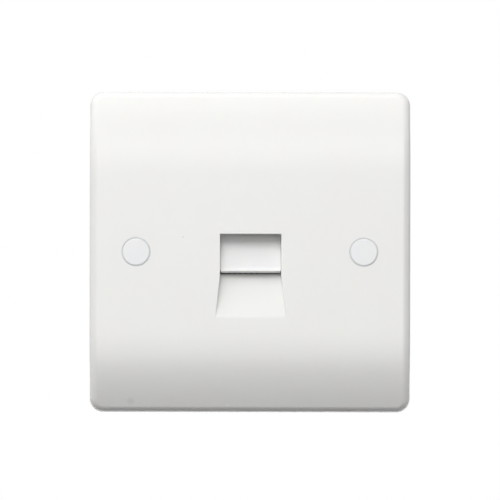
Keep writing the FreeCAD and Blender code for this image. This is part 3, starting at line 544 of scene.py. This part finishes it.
def rounded_block(name, half, front, back, corner, segments):
    """A square block whose four edges along Y are rounded."""
    obj = block(name, (-half, front, -half), (half, back, half))
    bevel(obj, corner, segments, lambda place, _: min(abs(place.x), abs(place.z)) > half - BEYOND)
    return obj


def bend_back(obj, front, radius, reach):
    """Cut the block into strips beyond the flat middle, and push their fronts back on an arc."""
    with editing(obj):
        level = FLAT_HALF
        while level < reach:
            for side in (level, -level):
                bpy.ops.mesh.select_all(action="SELECT")
                bpy.ops.mesh.bisect(plane_co=(0, 0, side * MM), plane_no=(0, 0, 1))
            level += BEND_STEP

        def bent_level(place):
            beyond = place.y < front / 2 and abs(place.z) > FLAT_HALF
            return round(abs(place.z), 3) if beyond else 0

        mesh = bmesh.from_edit_mesh(obj.data)
        for level in sorted({bent_level(middle(vert)) for vert in mesh.verts} - {0}):
            pick(obj, "verts", lambda place, _: bent_level(place) == level)
            drop = radius - math.sqrt(radius**2 - (level - FLAT_HALF) ** 2)
            bpy.ops.transform.translate(value=(0, drop * MM, 0))


def round_face_rim(obj):
    """The fillet round the face, as wide on each side as one radius makes it on the bent face."""
    steepest = (PLATE / 2 - FLAT_HALF) / BEND

    def share_across(edge):
        run = edge.verts[1].co - edge.verts[0].co
        return round(abs(run.x) / run.length, 3)

    def on_face(place):
        return abs(place.y - FACE) < NEAR

    with editing(obj):
        mesh = bmesh.from_edit_mesh(obj.data)
        shares = {share_across(edge) for edge in mesh.edges if on_face(middle(edge))}
        for share in sorted(shares):
            pick(obj, "edges", lambda place, edge: on_face(place) and share_across(edge) == share)
            width = 1 / math.tan((math.pi / 2 + math.asin(share * steepest)) / 2)
            bpy.ops.transform.edge_bevelweight(value=width)
    apply_modifier(obj, "rim", "BEVEL", width=RIM_ROUND * MM, segments=8, limit_method="WEIGHT")


def ramp_recess():
    """The hollow that the ramp floors: a block whose back is brought to the ramp level by level,
    and whose sides splay towards its foot. It runs on into the opening above the sill."""
    back = FACE + SILL_DEPTH
    top = SILL + BEYOND
    low = (OPENING_MIDDLE - FOOT_HALF, FACE - BEYOND, RAMP_END)
    obj = block("recess", low, (OPENING_MIDDLE + FOOT_HALF, back, top))
    arc_levels = [RAMP_END + (ARC_START - RAMP_END) * step / 8 for step in range(1, 9)]

    def back_of_level(place, _):
        return abs(place.z - level) < NEAR and place.y > FACE - BEYOND / 2

    with editing(obj):
        for level in arc_levels + [SILL]:
            bpy.ops.mesh.select_all(action="SELECT")
            bpy.ops.mesh.bisect(plane_co=(0, 0, level * MM), plane_no=(0, 0, 1))
        for level in [RAMP_END] + arc_levels + [SILL, top]:
            half = FOOT_HALF + (OPENING_HALF - FOOT_HALF) * (level - RAMP_END) / (SILL - RAMP_END)
            if level == top:
                target, half = back, OPENING_HALF / 2
            elif level > ARC_START - NEAR:
                target = FACE + (level - RAMP_FOOT) * RAMP_SLOPE
            else:
                target = FACE + FOOT_ROUND - math.sqrt(FOOT_ROUND**2 - (level - RAMP_END) ** 2)
            pick(obj, "verts", lambda place, _: abs(place.z - level) < NEAR)
            centre = (OPENING_MIDDLE * MM, 0, 0)
            bpy.ops.transform.resize(value=(half / FOOT_HALF, 1, 1), center_override=centre)
            pick(obj, "verts", back_of_level)
            bpy.ops.transform.translate(value=(0, (target - back) * MM, 0))
    return obj


def front_plate():
    half = PLATE / 2
    plate = rounded_block("plate", half, FACE, 0, CORNER, 12)
    with editing(plate):
        pick(plate, "verts", lambda place, _: place.y < FACE / 2)
        drawn_in = (half - SIDE_DRAFT) / half
        bpy.ops.transform.resize(value=(drawn_in, 1, drawn_in), center_override=(0, 0, 0))
    round_face_rim(plate)
    bend_back(plate, FACE, BEND, half - CORNER)
    inner = half - RIM_WALL
    hollow = rounded_block("hollow", inner, FACE_BACK, BEYOND, HOLLOW_CORNER, 6)
    bend_back(hollow, FACE_BACK, BEND - FACE_WALL, inner - HOLLOW_CORNER)
    cut(plate, hollow)

    # low wall round the jack
    inside = JACK_HIGH.x + SURROUND_GAP
    inside_top = JACK_HIGH.z + SURROUND_GAP
    outside = inside + SURROUND_WALL
    end = FACE_BACK + SURROUND_HEIGHT
    top = inside_top + SURROUND_WALL
    wall = block("surround", (-outside, PILLAR_ROOT, SILL), (outside, end, top))
    low = (-inside, FACE_BACK, SILL - BEYOND)
    cut(wall, block("inside", low, (inside, end + BEYOND, inside_top)))
    grow(plate, wall)

    # pillars for the fixings and the board, and the webs between the first and the rim
    fixing_pillar = WELL_RADIUS + PILLAR_WALL
    for side in (-1, 1):
        x = side * FIXING_X
        grow(plate, turned("pillar", x, 0, [(PILLAR_ROOT, fixing_pillar), (0, fixing_pillar)], 72))
        ends = sorted((side * (outside - SURROUND_WALL / 2), side * (half - RIM_WALL / 2)))
        low = (ends[0], PILLAR_ROOT, -WEB / 2)
        grow(plate, block("web", low, (ends[1], FACE_BACK + WEB_HEIGHT, WEB / 2)))
    ease = 0.25
    seat = BOARD_LOW.y
    tip = BOARD_HIGH.y + PEG_PROUD
    for x in (-PILLAR_X, PILLAR_X):
        for z in (-PILLAR_Z, PILLAR_Z):
            steps = [(PILLAR_ROOT, PILLAR_RADIUS), (seat - ease, PILLAR_RADIUS)]
            steps += [(seat, PILLAR_RADIUS - ease)]
            if x * z > 0:
                steps += [(seat, PEG_RADIUS), (tip - ease, PEG_RADIUS), (tip, PEG_RADIUS - ease)]
            grow(plate, turned("board_pillar", x, z, steps, 48))
            if x * z < 0:
                pilot = [(seat - PILOT_DEPTH, PILOT_RADIUS), (seat + BEYOND, PILOT_RADIUS)]
                cut(plate, turned("pilot", x, z, pilot, 32))

    # the back of the ramp
    ramp_half = FOOT_HALF + RAMP_SIDE_WALL
    back = FACE + SILL_DEPTH + RAMP_WALL
    ramp = block("ramp", (-ramp_half, FACE + RAMP_WALL, RAMP_FOOT), (ramp_half, back, SILL))
    with editing(ramp):
        pick(ramp, "verts", lambda place, _: place.y > back - NEAR and place.z < RAMP_FOOT + NEAR)
        bpy.ops.transform.translate(value=(0, (FACE + RAMP_WALL + NEAR - back) * MM, 0))
    grow(plate, ramp)

    # wells for the caps, with an eased mouth, and the holes for the screws
    wide = WELL_RADIUS + WELL_ROUND
    mouth = [(FACE - BEYOND, wide), (FACE - 2 * NEAR, wide)]
    mouth += quarter(FACE + WELL_ROUND, wide, WELL_ROUND, -100, -180, 5)[1:]
    hole = [(SCREW_SEAT - BEYOND, FIXING_HOLE), (BEYOND, FIXING_HOLE)]
    for x in (-FIXING_X, FIXING_X):
        cut(plate, turned("well", x, 0, mouth + [(SCREW_SEAT, WELL_RADIUS)], 96))
        cut(plate, turned("hole", x, 0, hole, 48))

    # the opening and the recess below it, their edges on the face eased
    left, right = OPENING_MIDDLE - OPENING_HALF, OPENING_MIDDLE + OPENING_HALF
    cut(plate, block("opening", (left, FACE - BEYOND, SILL), (right, back + BEYOND, OPENING_TOP)))
    cut(plate, ramp_recess())

    def opening_edge(place, edge):
        near_face = abs(place.y - FACE) < NEAR and abs(place.x - OPENING_MIDDLE) < FOOT_HALF + NEAR
        return near_face and ARC_START < place.z < OPENING_TOP + NEAR and sharp(edge)

    def top_edge(place, edge):
        return opening_edge(place, edge) and place.z > OPENING_TOP - NEAR

    def left_edge(place, edge):
        return opening_edge(place, edge) and place.x < left + NEAR

    weights = plate.data.attributes.get("bevel_weight_edge")
    if weights:
        plate.data.attributes.remove(weights)
    rounds = [(opening_edge, 1), (top_edge, OPENING_TOP_SHARE - 1)]
    rounds += [(left_edge, OPENING_LEFT_SHARE - 1)]
    with editing(plate):
        for wanted, weight in rounds:
            pick(plate, "edges", wanted)
            bpy.ops.transform.edge_bevelweight(value=weight)
    width = OPENING_ROUND * MM
    apply_modifier(plate, "mouth", "BEVEL", width=width, segments=4, limit_method="WEIGHT")
    return plate


def screw_cap(name, x):
    """A disc with a sloping edge, on a skirt that is slit in four."""
    front = FACE - CAP_PROUD
    radius = WELL_RADIUS - CAP_GAP
    inner = radius - CAP_SKIRT
    rim = [(front + deep, radius - short) for deep, short in CAP_SLOPE]
    back = front + CAP_DEPTH
    skirt = [(back, radius), (back, inner), (front + CAP_FACE, inner)]
    cap = turned(name, x, 0, rim + skirt, 96)
    reach = radius + BEYOND
    for wide, tall in ((reach, CAP_SLOT / 2), (CAP_SLOT / 2, reach)):
        low = (x - wide, front + CAP_FACE, -tall)
        cut(cap, block("slit", low, (x + wide, back + BEYOND, tall)))
    return cap


# Screws, springs and wires

def thread(name, x, z, start, end, core, crest, pitch):
    """A helical ridge on a screw: a triangle screwed along the shank."""
    bpy.ops.object.select_all(action="DESELECT")
    bpy.ops.mesh.primitive_circle_add(vertices=3, radius=(crest - core) / 1.5 * MM)
    obj = bpy.context.object
    with editing(obj):
        bpy.ops.mesh.select_all(action="SELECT")
        bpy.ops.transform.rotate(value=math.pi / 2, orient_axis="Z", center_override=(0, 0, 0))
        wider = pitch * 0.75 / (crest - core)
        bpy.ops.transform.resize(value=(1, wider, 1), center_override=(0, 0, 0))
        bpy.ops.transform.translate(value=((core + (crest - core) / 3) * MM, 0, 0))
    turns = round((end - start) / pitch)
    apply_modifier(
        obj,
        "thread",
        "SCREW",
        axis="Y",
        angle=2 * math.pi,
        screw_offset=(end - start) / turns * MM,
        iterations=turns,
        steps=20,
        render_steps=20,
    )
    with editing(obj):
        bpy.ops.mesh.select_all(action="SELECT")
        bpy.ops.mesh.fill_holes(sides=3)
        bpy.ops.mesh.normals_make_consistent(inside=False)
    obj.location = Vector((x, start, z)) * MM
    activate(obj)
    return settle(name)


def fixing_screw(name, x):
    """A slotted pan-head machine screw with a turned neck and an M3.5 thread."""
    low, high = span(name)
    head = (high.x - low.x) / 2
    height = SCREW_SEAT - low.y
    dome = quarter(low.y + height / 2, head - height / 2, height / 2, -90, 0, 8)
    neck, core, end, ease = FIXING_NECK, FIXING_CORE, high.y, 0.12
    shank = [(SCREW_SEAT, head), (SCREW_SEAT, neck), (0, neck), (0.3, core)]
    shank += [(end - 0.5, core), (end, core - 0.5)]
    screw = turned("screw", x, 0, dome + shank, 48)
    half, floor = FIXING_SLOT / 2, low.y + FIXING_SLOT_DEPTH
    reach = head + BEYOND
    cut(screw, block("slot", (x - reach, low.y - BEYOND, -half), (x + reach, floor, half)))

    def slot_edge(place, edge):
        return place.y < floor + 0.1 and abs(place.z) < half + 0.1 and sharp(edge)

    bevel(screw, ease, 2, slot_edge)
    sizes = (core - 0.05, FIXING_CREST, FIXING_THREAD_PITCH)
    return join(name + "_turned", [screw, thread("thread", x, 0, 0.5, end - 0.9, *sizes)])


def board_screw(name):
    """A cross-recessed pan-head self-tapping screw."""
    low, high = span(name)
    x, z = (low.x + high.x) / 2, (low.z + high.z) / 2
    head = (high.x - low.x) / 2
    seat = BOARD_HIGH.y
    height = high.y - seat
    core, crown = BOARD_SCREW_CORE, height * 0.55
    dome = quarter(high.y - crown, head - crown, crown, 0, 90, 8)
    start = low.y + BOARD_SCREW_POINT
    shank = [(low.y, 0.2), (start, core), (seat, core), (seat, head)]
    screw = turned("screw", x, z, shank + dome, 48)
    arms = []
    floor = high.y - CROSS_DEPTH
    for wide, tall in ((CROSS_REACH, CROSS_WIDTH / 2), (CROSS_WIDTH / 2, CROSS_REACH)):
        arm = block("arm", (x - wide, floor, z - tall), (x + wide, high.y + BEYOND, z + tall))
        with editing(arm):
            pick(arm, "verts", lambda place, _: place.y < high.y)
            centre = Vector((x, floor, z)) * MM
            bpy.ops.transform.resize(value=(0.55, 1, 0.55), center_override=centre)
        arms.append(arm)
    cut(screw, *arms)
    sizes = (core - 0.05, BOARD_SCREW_CREST, BOARD_SCREW_PITCH)
    return join(name + "_turned", [screw, thread("thread", x, z, start, seat - 1.8, *sizes)])


def spring_parts():
    """The coil with the leg that reaches the roof, and the leg that lies on the flap."""
    start = -SHUTTER_LEAN
    turn = SPRING_ROOF_ANGLE - 90 + 360 * SPRING_TURNS - start
    turns = turn / 360
    bpy.ops.object.select_all(action="DESELECT")
    centre = (0, SPRING_RADIUS * MM, 0)
    bpy.ops.mesh.primitive_circle_add(vertices=12, radius=SPRING_WIRE / 2 * MM, location=centre)
    coil = settle("coil")
    with editing(coil):
        bpy.ops.mesh.select_all(action="SELECT")
        bpy.ops.transform.rotate(value=math.pi / 2, orient_axis="Y", center_override=centre)
        lean = math.radians(-start)
        bpy.ops.transform.rotate(value=lean, orient_axis="X", center_override=(0, 0, 0))
    half_run = SPRING_PITCH * turns / 2
    apply_modifier(
        coil,
        "coil",
        "SCREW",
        axis="X",
        angle=math.radians(turn),
        screw_offset=2 * half_run * MM,
        iterations=1,
        steps=round(28 * turns),
        render_steps=round(28 * turns),
    )
    with editing(coil):
        bpy.ops.mesh.select_all(action="SELECT")
        bpy.ops.mesh.fill_holes(sides=12)
        bpy.ops.mesh.normals_make_consistent(inside=False)
    coil.location = Vector((-half_run, HINGE.y, HINGE.z)) * MM
    activate(coil)
    coil = settle("coil")
    legs = []
    for x, angle, length, sign in (
        (-half_run, start, SPRING_FLAP_LEG, -1),
        (half_run, start + turn, SPRING_ROOF_LEG, 1),
    ):
        round_ = math.radians(angle)
        outward = Vector((0, math.cos(round_), math.sin(round_)))
        along = Vector((0, -math.sin(round_), math.cos(round_))) * sign
        root = Vector((x, HINGE.y, HINGE.z)) + outward * SPRING_RADIUS
        legs.append(straight_wire("leg", root, along, length, SPRING_WIRE / 2))
    return join("shutter_spring_coil", [coil, legs[1]]), legs[0]


def straight_wire(name, root, along, length, radius):
    """A wire with a rounded tip."""
    turn = along.to_track_quat("Z", "Y").to_euler()
    bpy.ops.object.select_all(action="DESELECT")
    bpy.ops.mesh.primitive_cylinder_add(
        vertices=12,
        radius=radius * MM,
        depth=length * MM,
        location=(root + along * length / 2) * MM,
        rotation=turn,
    )
    wire = settle(name)

    def tip_edge(place, edge):
        return sharp(edge) and (place - root).dot(along) > length / 2

    bevel(wire, radius / 2, 2, tip_edge)
    return wire


def leg_level(contact):
    """The height of a contact's straight leg, which runs through the board."""
    return span(contact)[0].z + WIRE_SEATED + WIRE_RADIUS


def contact_wire(name, x):
    """A hairpin spring contact: straight through the board, round the comb's nose and back up."""
    low, high = span(name)
    leg_z = leg_level(name)
    bend_y = low.y + WIRE_SEATED + WIRE_RADIUS + WIRE_BEND
    bend_z = leg_z + WIRE_BEND
    bpy.ops.object.select_all(action="DESELECT")
    bpy.ops.mesh.primitive_circle_add(
        vertices=16,
        radius=WIRE_RADIUS * MM,
        fill_type="NGON",
        location=Vector((x, high.y, leg_z)) * MM,
        rotation=(math.pi / 2, 0, 0),
    )
    wire = settle(name + "_wire")
    with editing(wire):
        bpy.ops.mesh.select_all(action="SELECT")
        straight = (0, (bend_y - high.y) * MM, 0)
        bpy.ops.mesh.extrude_region_move(TRANSFORM_OT_translate={"value": straight})
        bpy.ops.mesh.spin(
            steps=18,
            angle=math.radians(180 - WIRE_RISE),
            center=Vector((x, bend_y, bend_z)) * MM,
            axis=(1, 0, 0),
        )
        rise = math.radians(WIRE_RISE)
        along = Vector((0, math.cos(rise), math.sin(rise)))
        for length in (WIRE_ARM - WIRE_TIP, WIRE_TIP):
            step = along * length * MM
            bpy.ops.mesh.extrude_region_move(TRANSFORM_OT_translate={"value": step})
        bpy.ops.transform.resize(value=(0.6, 0.6, 0.6))
        bpy.ops.mesh.select_all(action="SELECT")
        bpy.ops.mesh.normals_make_consistent(inside=False)
    return wire


# The shutter

def shutter():
    """The flap, shaped hanging straight down from its hinge and then leant outwards."""
    y, z = HINGE.y, HINGE.z
    face = SHUTTER_THICKNESS / 2
    left = OPENING_MIDDLE - OPENING_HALF + SHUTTER_GAP
    right = OPENING_MIDDLE + OPENING_HALF - SHUTTER_GAP
    flap = block("flap", (left, y - face, z - LIP_TOP - 0.5), (right, y + face, z - NOTCH))

    def side_edge(place, _):
        return not left + NEAR < place.x < right - NEAR and abs(place.y - y) > NEAR

    bevel(flap, SHUTTER_EASE, 3, side_edge)

    # the bar along the lip: its front slants out, its underside falls away to the back, its ends
    # are rounded as the front sees them, and then all its edges are eased
    low, high = SHUTTER_LOW.x, right
    centre, half = (low + high) / 2, (high - low) / 2
    middle_y, deep = y + face - LIP_DEPTH / 2, LIP_DEPTH / 2 - NEAR
    lip = block("lip", (low, y + face - LIP_DEPTH, z - LIP_END), (high, y + face, z - LIP_TOP))
    with editing(lip):
        pick(lip, "verts", lambda place, _: place.y > y and place.z < z - LIP_END + NEAR)
        bpy.ops.transform.translate(value=(0, 0, -LIP_FALL * MM))
        pick(lip, "verts", lambda place, _: place.y < y and place.z > z - LIP_TOP - NEAR)
        bpy.ops.transform.translate(value=(0, LIP_SLANT * MM, 0))

    def lip_end(place, _):
        return abs(place.x - centre) > half - NEAR and abs(place.y - middle_y) < LIP_SLANT

    bevel(lip, LIP_END_ROUND, 6, lip_end)
    bevel(lip, LIP_EASE, 3, lambda place, _: not middle_y - 0.3 < place.y < middle_y + deep)
    grow(flap, lip)

    # two knuckles on the pin
    low, high = SHUTTER_LOW.x, SHUTTER_HIGH.x
    for start, end in ((low, low + KNUCKLE_LENGTH), (high - KNUCKLE_LENGTH, high)):
        arm = block("arm", (start, y - face, z - NOTCH - BEYOND), (end, y + face, z))
        knuckle = rod_along_x("knuckle", y, z, KNUCKLE_RADIUS, start, end, 48)
        bevel(knuckle, SHUTTER_EASE, 2, lambda place, edge: sharp(edge, 60))
        grow(flap, arm, knuckle)
    cut(flap, rod_along_x("bore", y, z, BORE, low - BEYOND, high + BEYOND, 32))
    with editing(flap):
        bpy.ops.mesh.select_all(action="SELECT")
        lean = math.radians(SHUTTER_LEAN)
        bpy.ops.transform.rotate(value=lean, orient_axis="X", center_override=(0, y * MM, z * MM))
    return flap


# The board

def contact_place(number):
    low, high = span(f"contact_{number}")
    return (low.x + high.x) / 2


def track(name, points):
    """A copper track under the resist: a round line pressed flat."""
    curve = bpy.data.curves.new(name, "CURVE")
    curve.dimensions = "3D"
    curve.bevel_depth = TRACK_HALF * MM
    curve.bevel_resolution = 2
    curve.use_fill_caps = True
    spline = curve.splines.new("POLY")
    spline.points.add(len(points) - 1)
    for point, (x, z) in zip(spline.points, points):
        point.co = (x * MM, 0, z * MM, 1)
    obj = bpy.data.objects.new(name, curve)
    bpy.context.scene.collection.objects.link(obj)
    obj.scale = (1, TRACK_FLATNESS, 1)
    obj.location = (0, BOARD_HIGH.y * MM, 0)
    activate(obj)
    bpy.ops.object.convert(target="MESH")
    return settle(name)


def board_tracks():
    """Six tracks from the contacts to the terminals, nested so that none crosses another."""
    block_x = (BLOCK_LOW.x + BLOCK_HIGH.x) / 2
    start_z = leg_level("contact_1")
    tracks = []
    for number in range(1, CONTACT_COUNT + 1):
        x = contact_place(number)
        side = -1 if number <= CONTACT_COUNT / 2 else 1
        row = number - 2 if side < 0 else 5 - number
        level = row * TERMINAL_PITCH
        points = [(x, start_z), (x, level - 1), (x + side, level), (side * block_x, level)]
        tracks.append(track("track", points))
    return join("board_tracks", tracks)


def solder_joints():
    """A cone of solder round each contact's tail and each blade's tail."""
    joints = []
    wire_joint = [(BOARD_HIGH.y + height, radius) for height, radius in WIRE_JOINT]
    blade_joint = [(BOARD_LOW.y - height, radius) for height, radius in BLADE_JOINT]
    start_z = leg_level("contact_1")
    for number in range(1, CONTACT_COUNT + 1):
        joints.append(turned("joint", contact_place(number), start_z, wire_joint, 20))
        low, high = span(f"terminal_blade_{number}")
        x, z = (low.x + high.x) / 2, (low.z + high.z) / 2
        joints.append(turned("joint", x, z, blade_joint, 20))
    return join("solder_joints", joints)


def board_legend():
    """The terminals' numbers, printed beside the blocks and read from behind."""
    numbers = []
    for number in range(1, CONTACT_COUNT + 1):
        low, high = span(f"terminal_blade_{number}")
        side = 1 if low.x > 0 else -1
        curve = bpy.data.curves.new("number", "FONT")
        curve.body = str(number)
        curve.size = NUMBER_HEIGHT * MM
        curve.extrude = INK_THICKNESS * MM
        curve.align_x, curve.align_y = "CENTER", "CENTER"
        obj = bpy.data.objects.new("number", curve)
        bpy.context.scene.collection.objects.link(obj)
        x, y, z = side * (BLOCK_HIGH.x + NUMBER_ASIDE), BOARD_HIGH.y + 0.015, (low.z + high.z) / 2
        obj.location = Vector((x, y, z)) * MM
        obj.rotation_euler = (math.pi / 2, 0, math.pi)
        activate(obj)
        bpy.ops.object.convert(target="MESH")
        numbers.append(settle("number"))
    return join("board_legend", numbers)


# The studio

def make_camera():
    data = bpy.data.cameras.new("camera")
    data.sensor_width = SENSOR
    data.lens = SENSOR * CAMERA_DISTANCE / SEEN_WIDTH
    data.clip_start = 0.05
    camera = bpy.data.objects.new("camera", data)
    bpy.context.scene.collection.objects.link(camera)
    camera.location = Vector((0, FACE - CAMERA_DISTANCE, CAMERA_RAISE)) * MM
    camera.rotation_euler = (math.radians(90), math.radians(CAMERA_ROLL), 0)
    bpy.context.scene.camera = camera


def area_light(
    name, elevation, azimuth, distance, width, height, radiance, glossy=False, diffuse=True
):
    """A soft rectangular lamp aimed at the object; azimuth grows to the right of the camera."""
    data = bpy.data.lights.new(name, "AREA")
    data.shape = "RECTANGLE"
    data.size, data.size_y = width * MM, height * MM
    data.energy = radiance * math.pi * width * height * MM * MM
    lamp = bpy.data.objects.new(name, data)
    bpy.context.scene.collection.objects.link(lamp)
    up, round_ = math.radians(elevation), math.radians(azimuth)
    across = math.cos(up)
    away = Vector((math.sin(round_) * across, -math.cos(round_) * across, math.sin(up)))
    lamp.location = away * distance * MM
    lamp.rotation_euler = (-away).to_track_quat("-Z", "Y").to_euler()
    lamp.visible_camera = False
    lamp.visible_glossy = glossy
    lamp.visible_diffuse = diffuse
    return lamp


def make_world():
    world = bpy.data.worlds.new("studio")
    bpy.context.scene.world = world
    world.use_nodes = True
    tree = world.node_tree
    tree.nodes.clear()
    ambient = add_node(tree, "ShaderNodeBackground", Color=linear("#FFFFFF"), Strength=0.14)
    white = add_node(tree, "ShaderNodeBackground", Color=linear("#FFFFFF"), Strength=1.0)
    shares = {"Fac": seen_rays(tree), "i1": ambient.outputs[0], "i2": white.outputs[0]}
    mixed = add_node(tree, "ShaderNodeMixShader", **shares)
    add_node(tree, "ShaderNodeOutputWorld", Surface=mixed.outputs[0])


def make_floor():
    bpy.ops.object.select_all(action="DESELECT")
    bpy.ops.mesh.primitive_circle_add(
        vertices=96, radius=0.45, fill_type="NGON", location=(0, 0, FLOOR_LEVEL * MM)
    )
    floor = settle("studio_floor")
    floor.data.materials.append(studio_floor())


make_camera()
make_world()
make_floor()
area_light("key", 38, -15, 1000, 700, 420, 5.5)
area_light("overhead", 60, -10, 1000, 900, 500, 1.6)
area_light("zenith", 84, 0, 1000, 900, 500, 1.0)
area_light("left_fill", 25, -72, 900, 600, 700, 2.0)
area_light("right_fill", 15, 68, 900, 600, 700, 1.1)
area_light("front_fill", 0, 0, 900, 1300, 600, 0.5)
area_light("front_card", 2, 0, 900, 800, 800, 2.2, glossy=True, diffuse=False)

# Urea, compression moulded: hard, dense and glossy, with the faintest ripple in its skin. A
# bright speck, a small dark one and a wider dull mark lie on the face.
urea = moulded(
    "urea_compression_moulded", "#EDEDEB", "#EDECEA", 0.26, 2.5, 0.0008, 0.3,
    [(-5.9, -40.8, 0.4, "#F8F8F8"), (-17.7, 4.0, 0.35, "#DDDDDB"), (-31.7, -39.6, 1.3, "#E4E4E4")],
)
# The caps are the same plastic from another mould, polished a little more
cap_urea = moulded("cap_urea_compression_moulded", "#EEEFEF", "#ECEDED", 0.24, 2.0, 0.002, 0.5)
# Acetal, injection moulded: waxy, with light inside it
acetal = moulded("acetal_injection_moulded", "#F2F2F1", "#F0F0EF", 0.3, 1.6, 0.002, 0.4)
# ABS, injection moulded against a finely sparked tool: satin
abs_satin = moulded("abs_injection_moulded", "#E4E3DC", "#E0DFD8", 0.45, 0.35, 0.006, 0.3)
# Polycarbonate, injection moulded: clean and a little glossier
polycarbonate = moulded(
    "polycarbonate_injection_moulded", "#E9E8E2", "#E5E4DE", 0.36, 0.6, 0.004, 0.4
)
# Steel, zinc plated and passivated: bright and faintly blue, with turned lines round the shank
zinc = metal("steel_zinc_plated", "#C9CCCE", "#B9BDC2", 0.3, (2.0, 0.12, 2.0), 0.002)
# Spring steel, drawn: fine lines along the wire
drawn_steel = metal("spring_steel_drawn", "#B4B5B6", "#A4A5A7", 0.26, (0.15, 1.5, 1.5), 0.001)
# Phosphor bronze wire with a gold flash: warm, smooth and bright
gilt = metal("bronze_wire_gold_flashed", "#E2BC6A", "#D8AE58", 0.2, (0.1, 2.0, 0.1), 0.001)
# Phosphor bronze strip, tinned: soft grey lustre
tinned = metal("bronze_strip_tinned", "#CFCDC8", "#BDBBB5", 0.34, (0.6, 0.6, 0.1), 0.001)
# Solder: bright and slightly rippled where it froze
solder = metal("solder_reflowed", "#C4C4C2", "#AFAFAD", 0.28, (0.4, 0.4, 0.4), 0.01)
# Copper under the resist is a lighter green than the bare laminate
resist = moulded("solder_resist_cured", "#2A7443", "#256B3D", 0.26, 1.2, 0.002, 0.0)
# The numbers are epoxy ink, screen printed
ink = moulded("epoxy_ink_printed", "#EDEDE6", "#E2E2DA", 0.5, 0.3, 0.002, 0.0)

plate = finished(front_plate(), "socket", urea, "plate_moulding", "front_plate")
plate.name = "front_plate_moulding"
for side, x in (("left", -FIXING_X), ("right", FIXING_X)):
    cap = screw_cap(f"screw_cap_{side}_moulding", x)
    finished(cap, "socket", cap_urea, "cap_moulding", f"screw_cap_{side}")
    screw = f"fixing_screw_{side}"
    finished(fixing_screw(screw, x), "socket", zinc, "plated_steel", screw)
finished(shutter(), "flap", acetal, "shutter_moulding", "shutter").name = "shutter_moulding"
coil, flap_leg = spring_parts()
finished(coil, "socket", drawn_steel, "spring_steel", "shutter_spring")
finished(flap_leg, "flap", drawn_steel, "spring_steel").name = "shutter_spring_leg"
for node, width, plastic, slot in (
    ("jack_housing", 0.2, abs_satin, "jack_moulding"),
    ("contact_carrier", 0.08, abs_satin, "jack_moulding"),
    ("terminal_block_left", 0.12, polycarbonate, "block_moulding"),
    ("terminal_block_right", 0.12, polycarbonate, "block_moulding"),
):
    finished(softened(node, width), "socket", plastic, slot, node)
for number in range(1, CONTACT_COUNT + 1):
    wire = contact_wire(f"contact_{number}", contact_place(number))
    finished(wire, "socket", gilt, "gilt_wire", f"contact_{number}")
    blade = f"terminal_blade_{number}"
    finished(softened(blade, 0.05), "socket", tinned, "tinned_bronze", blade)
for screw in ("board_screw_upper", "board_screw_lower"):
    finished(board_screw(screw), "socket", zinc, "plated_steel", screw)
finished(board_tracks(), "socket", resist, "board_laminate")
finished(solder_joints(), "socket", solder, "tinned_bronze")
finished(board_legend(), "socket", ink, "board_laminate")
for node, material in (("circuit_board", glass_epoxy()), ("shutter_pin", drawn_steel)):
    frame["nodes"][node].data.materials.clear()
    frame["nodes"][node].data.materials.append(material)

bpy.context.scene.view_settings.view_transform = "Standard"
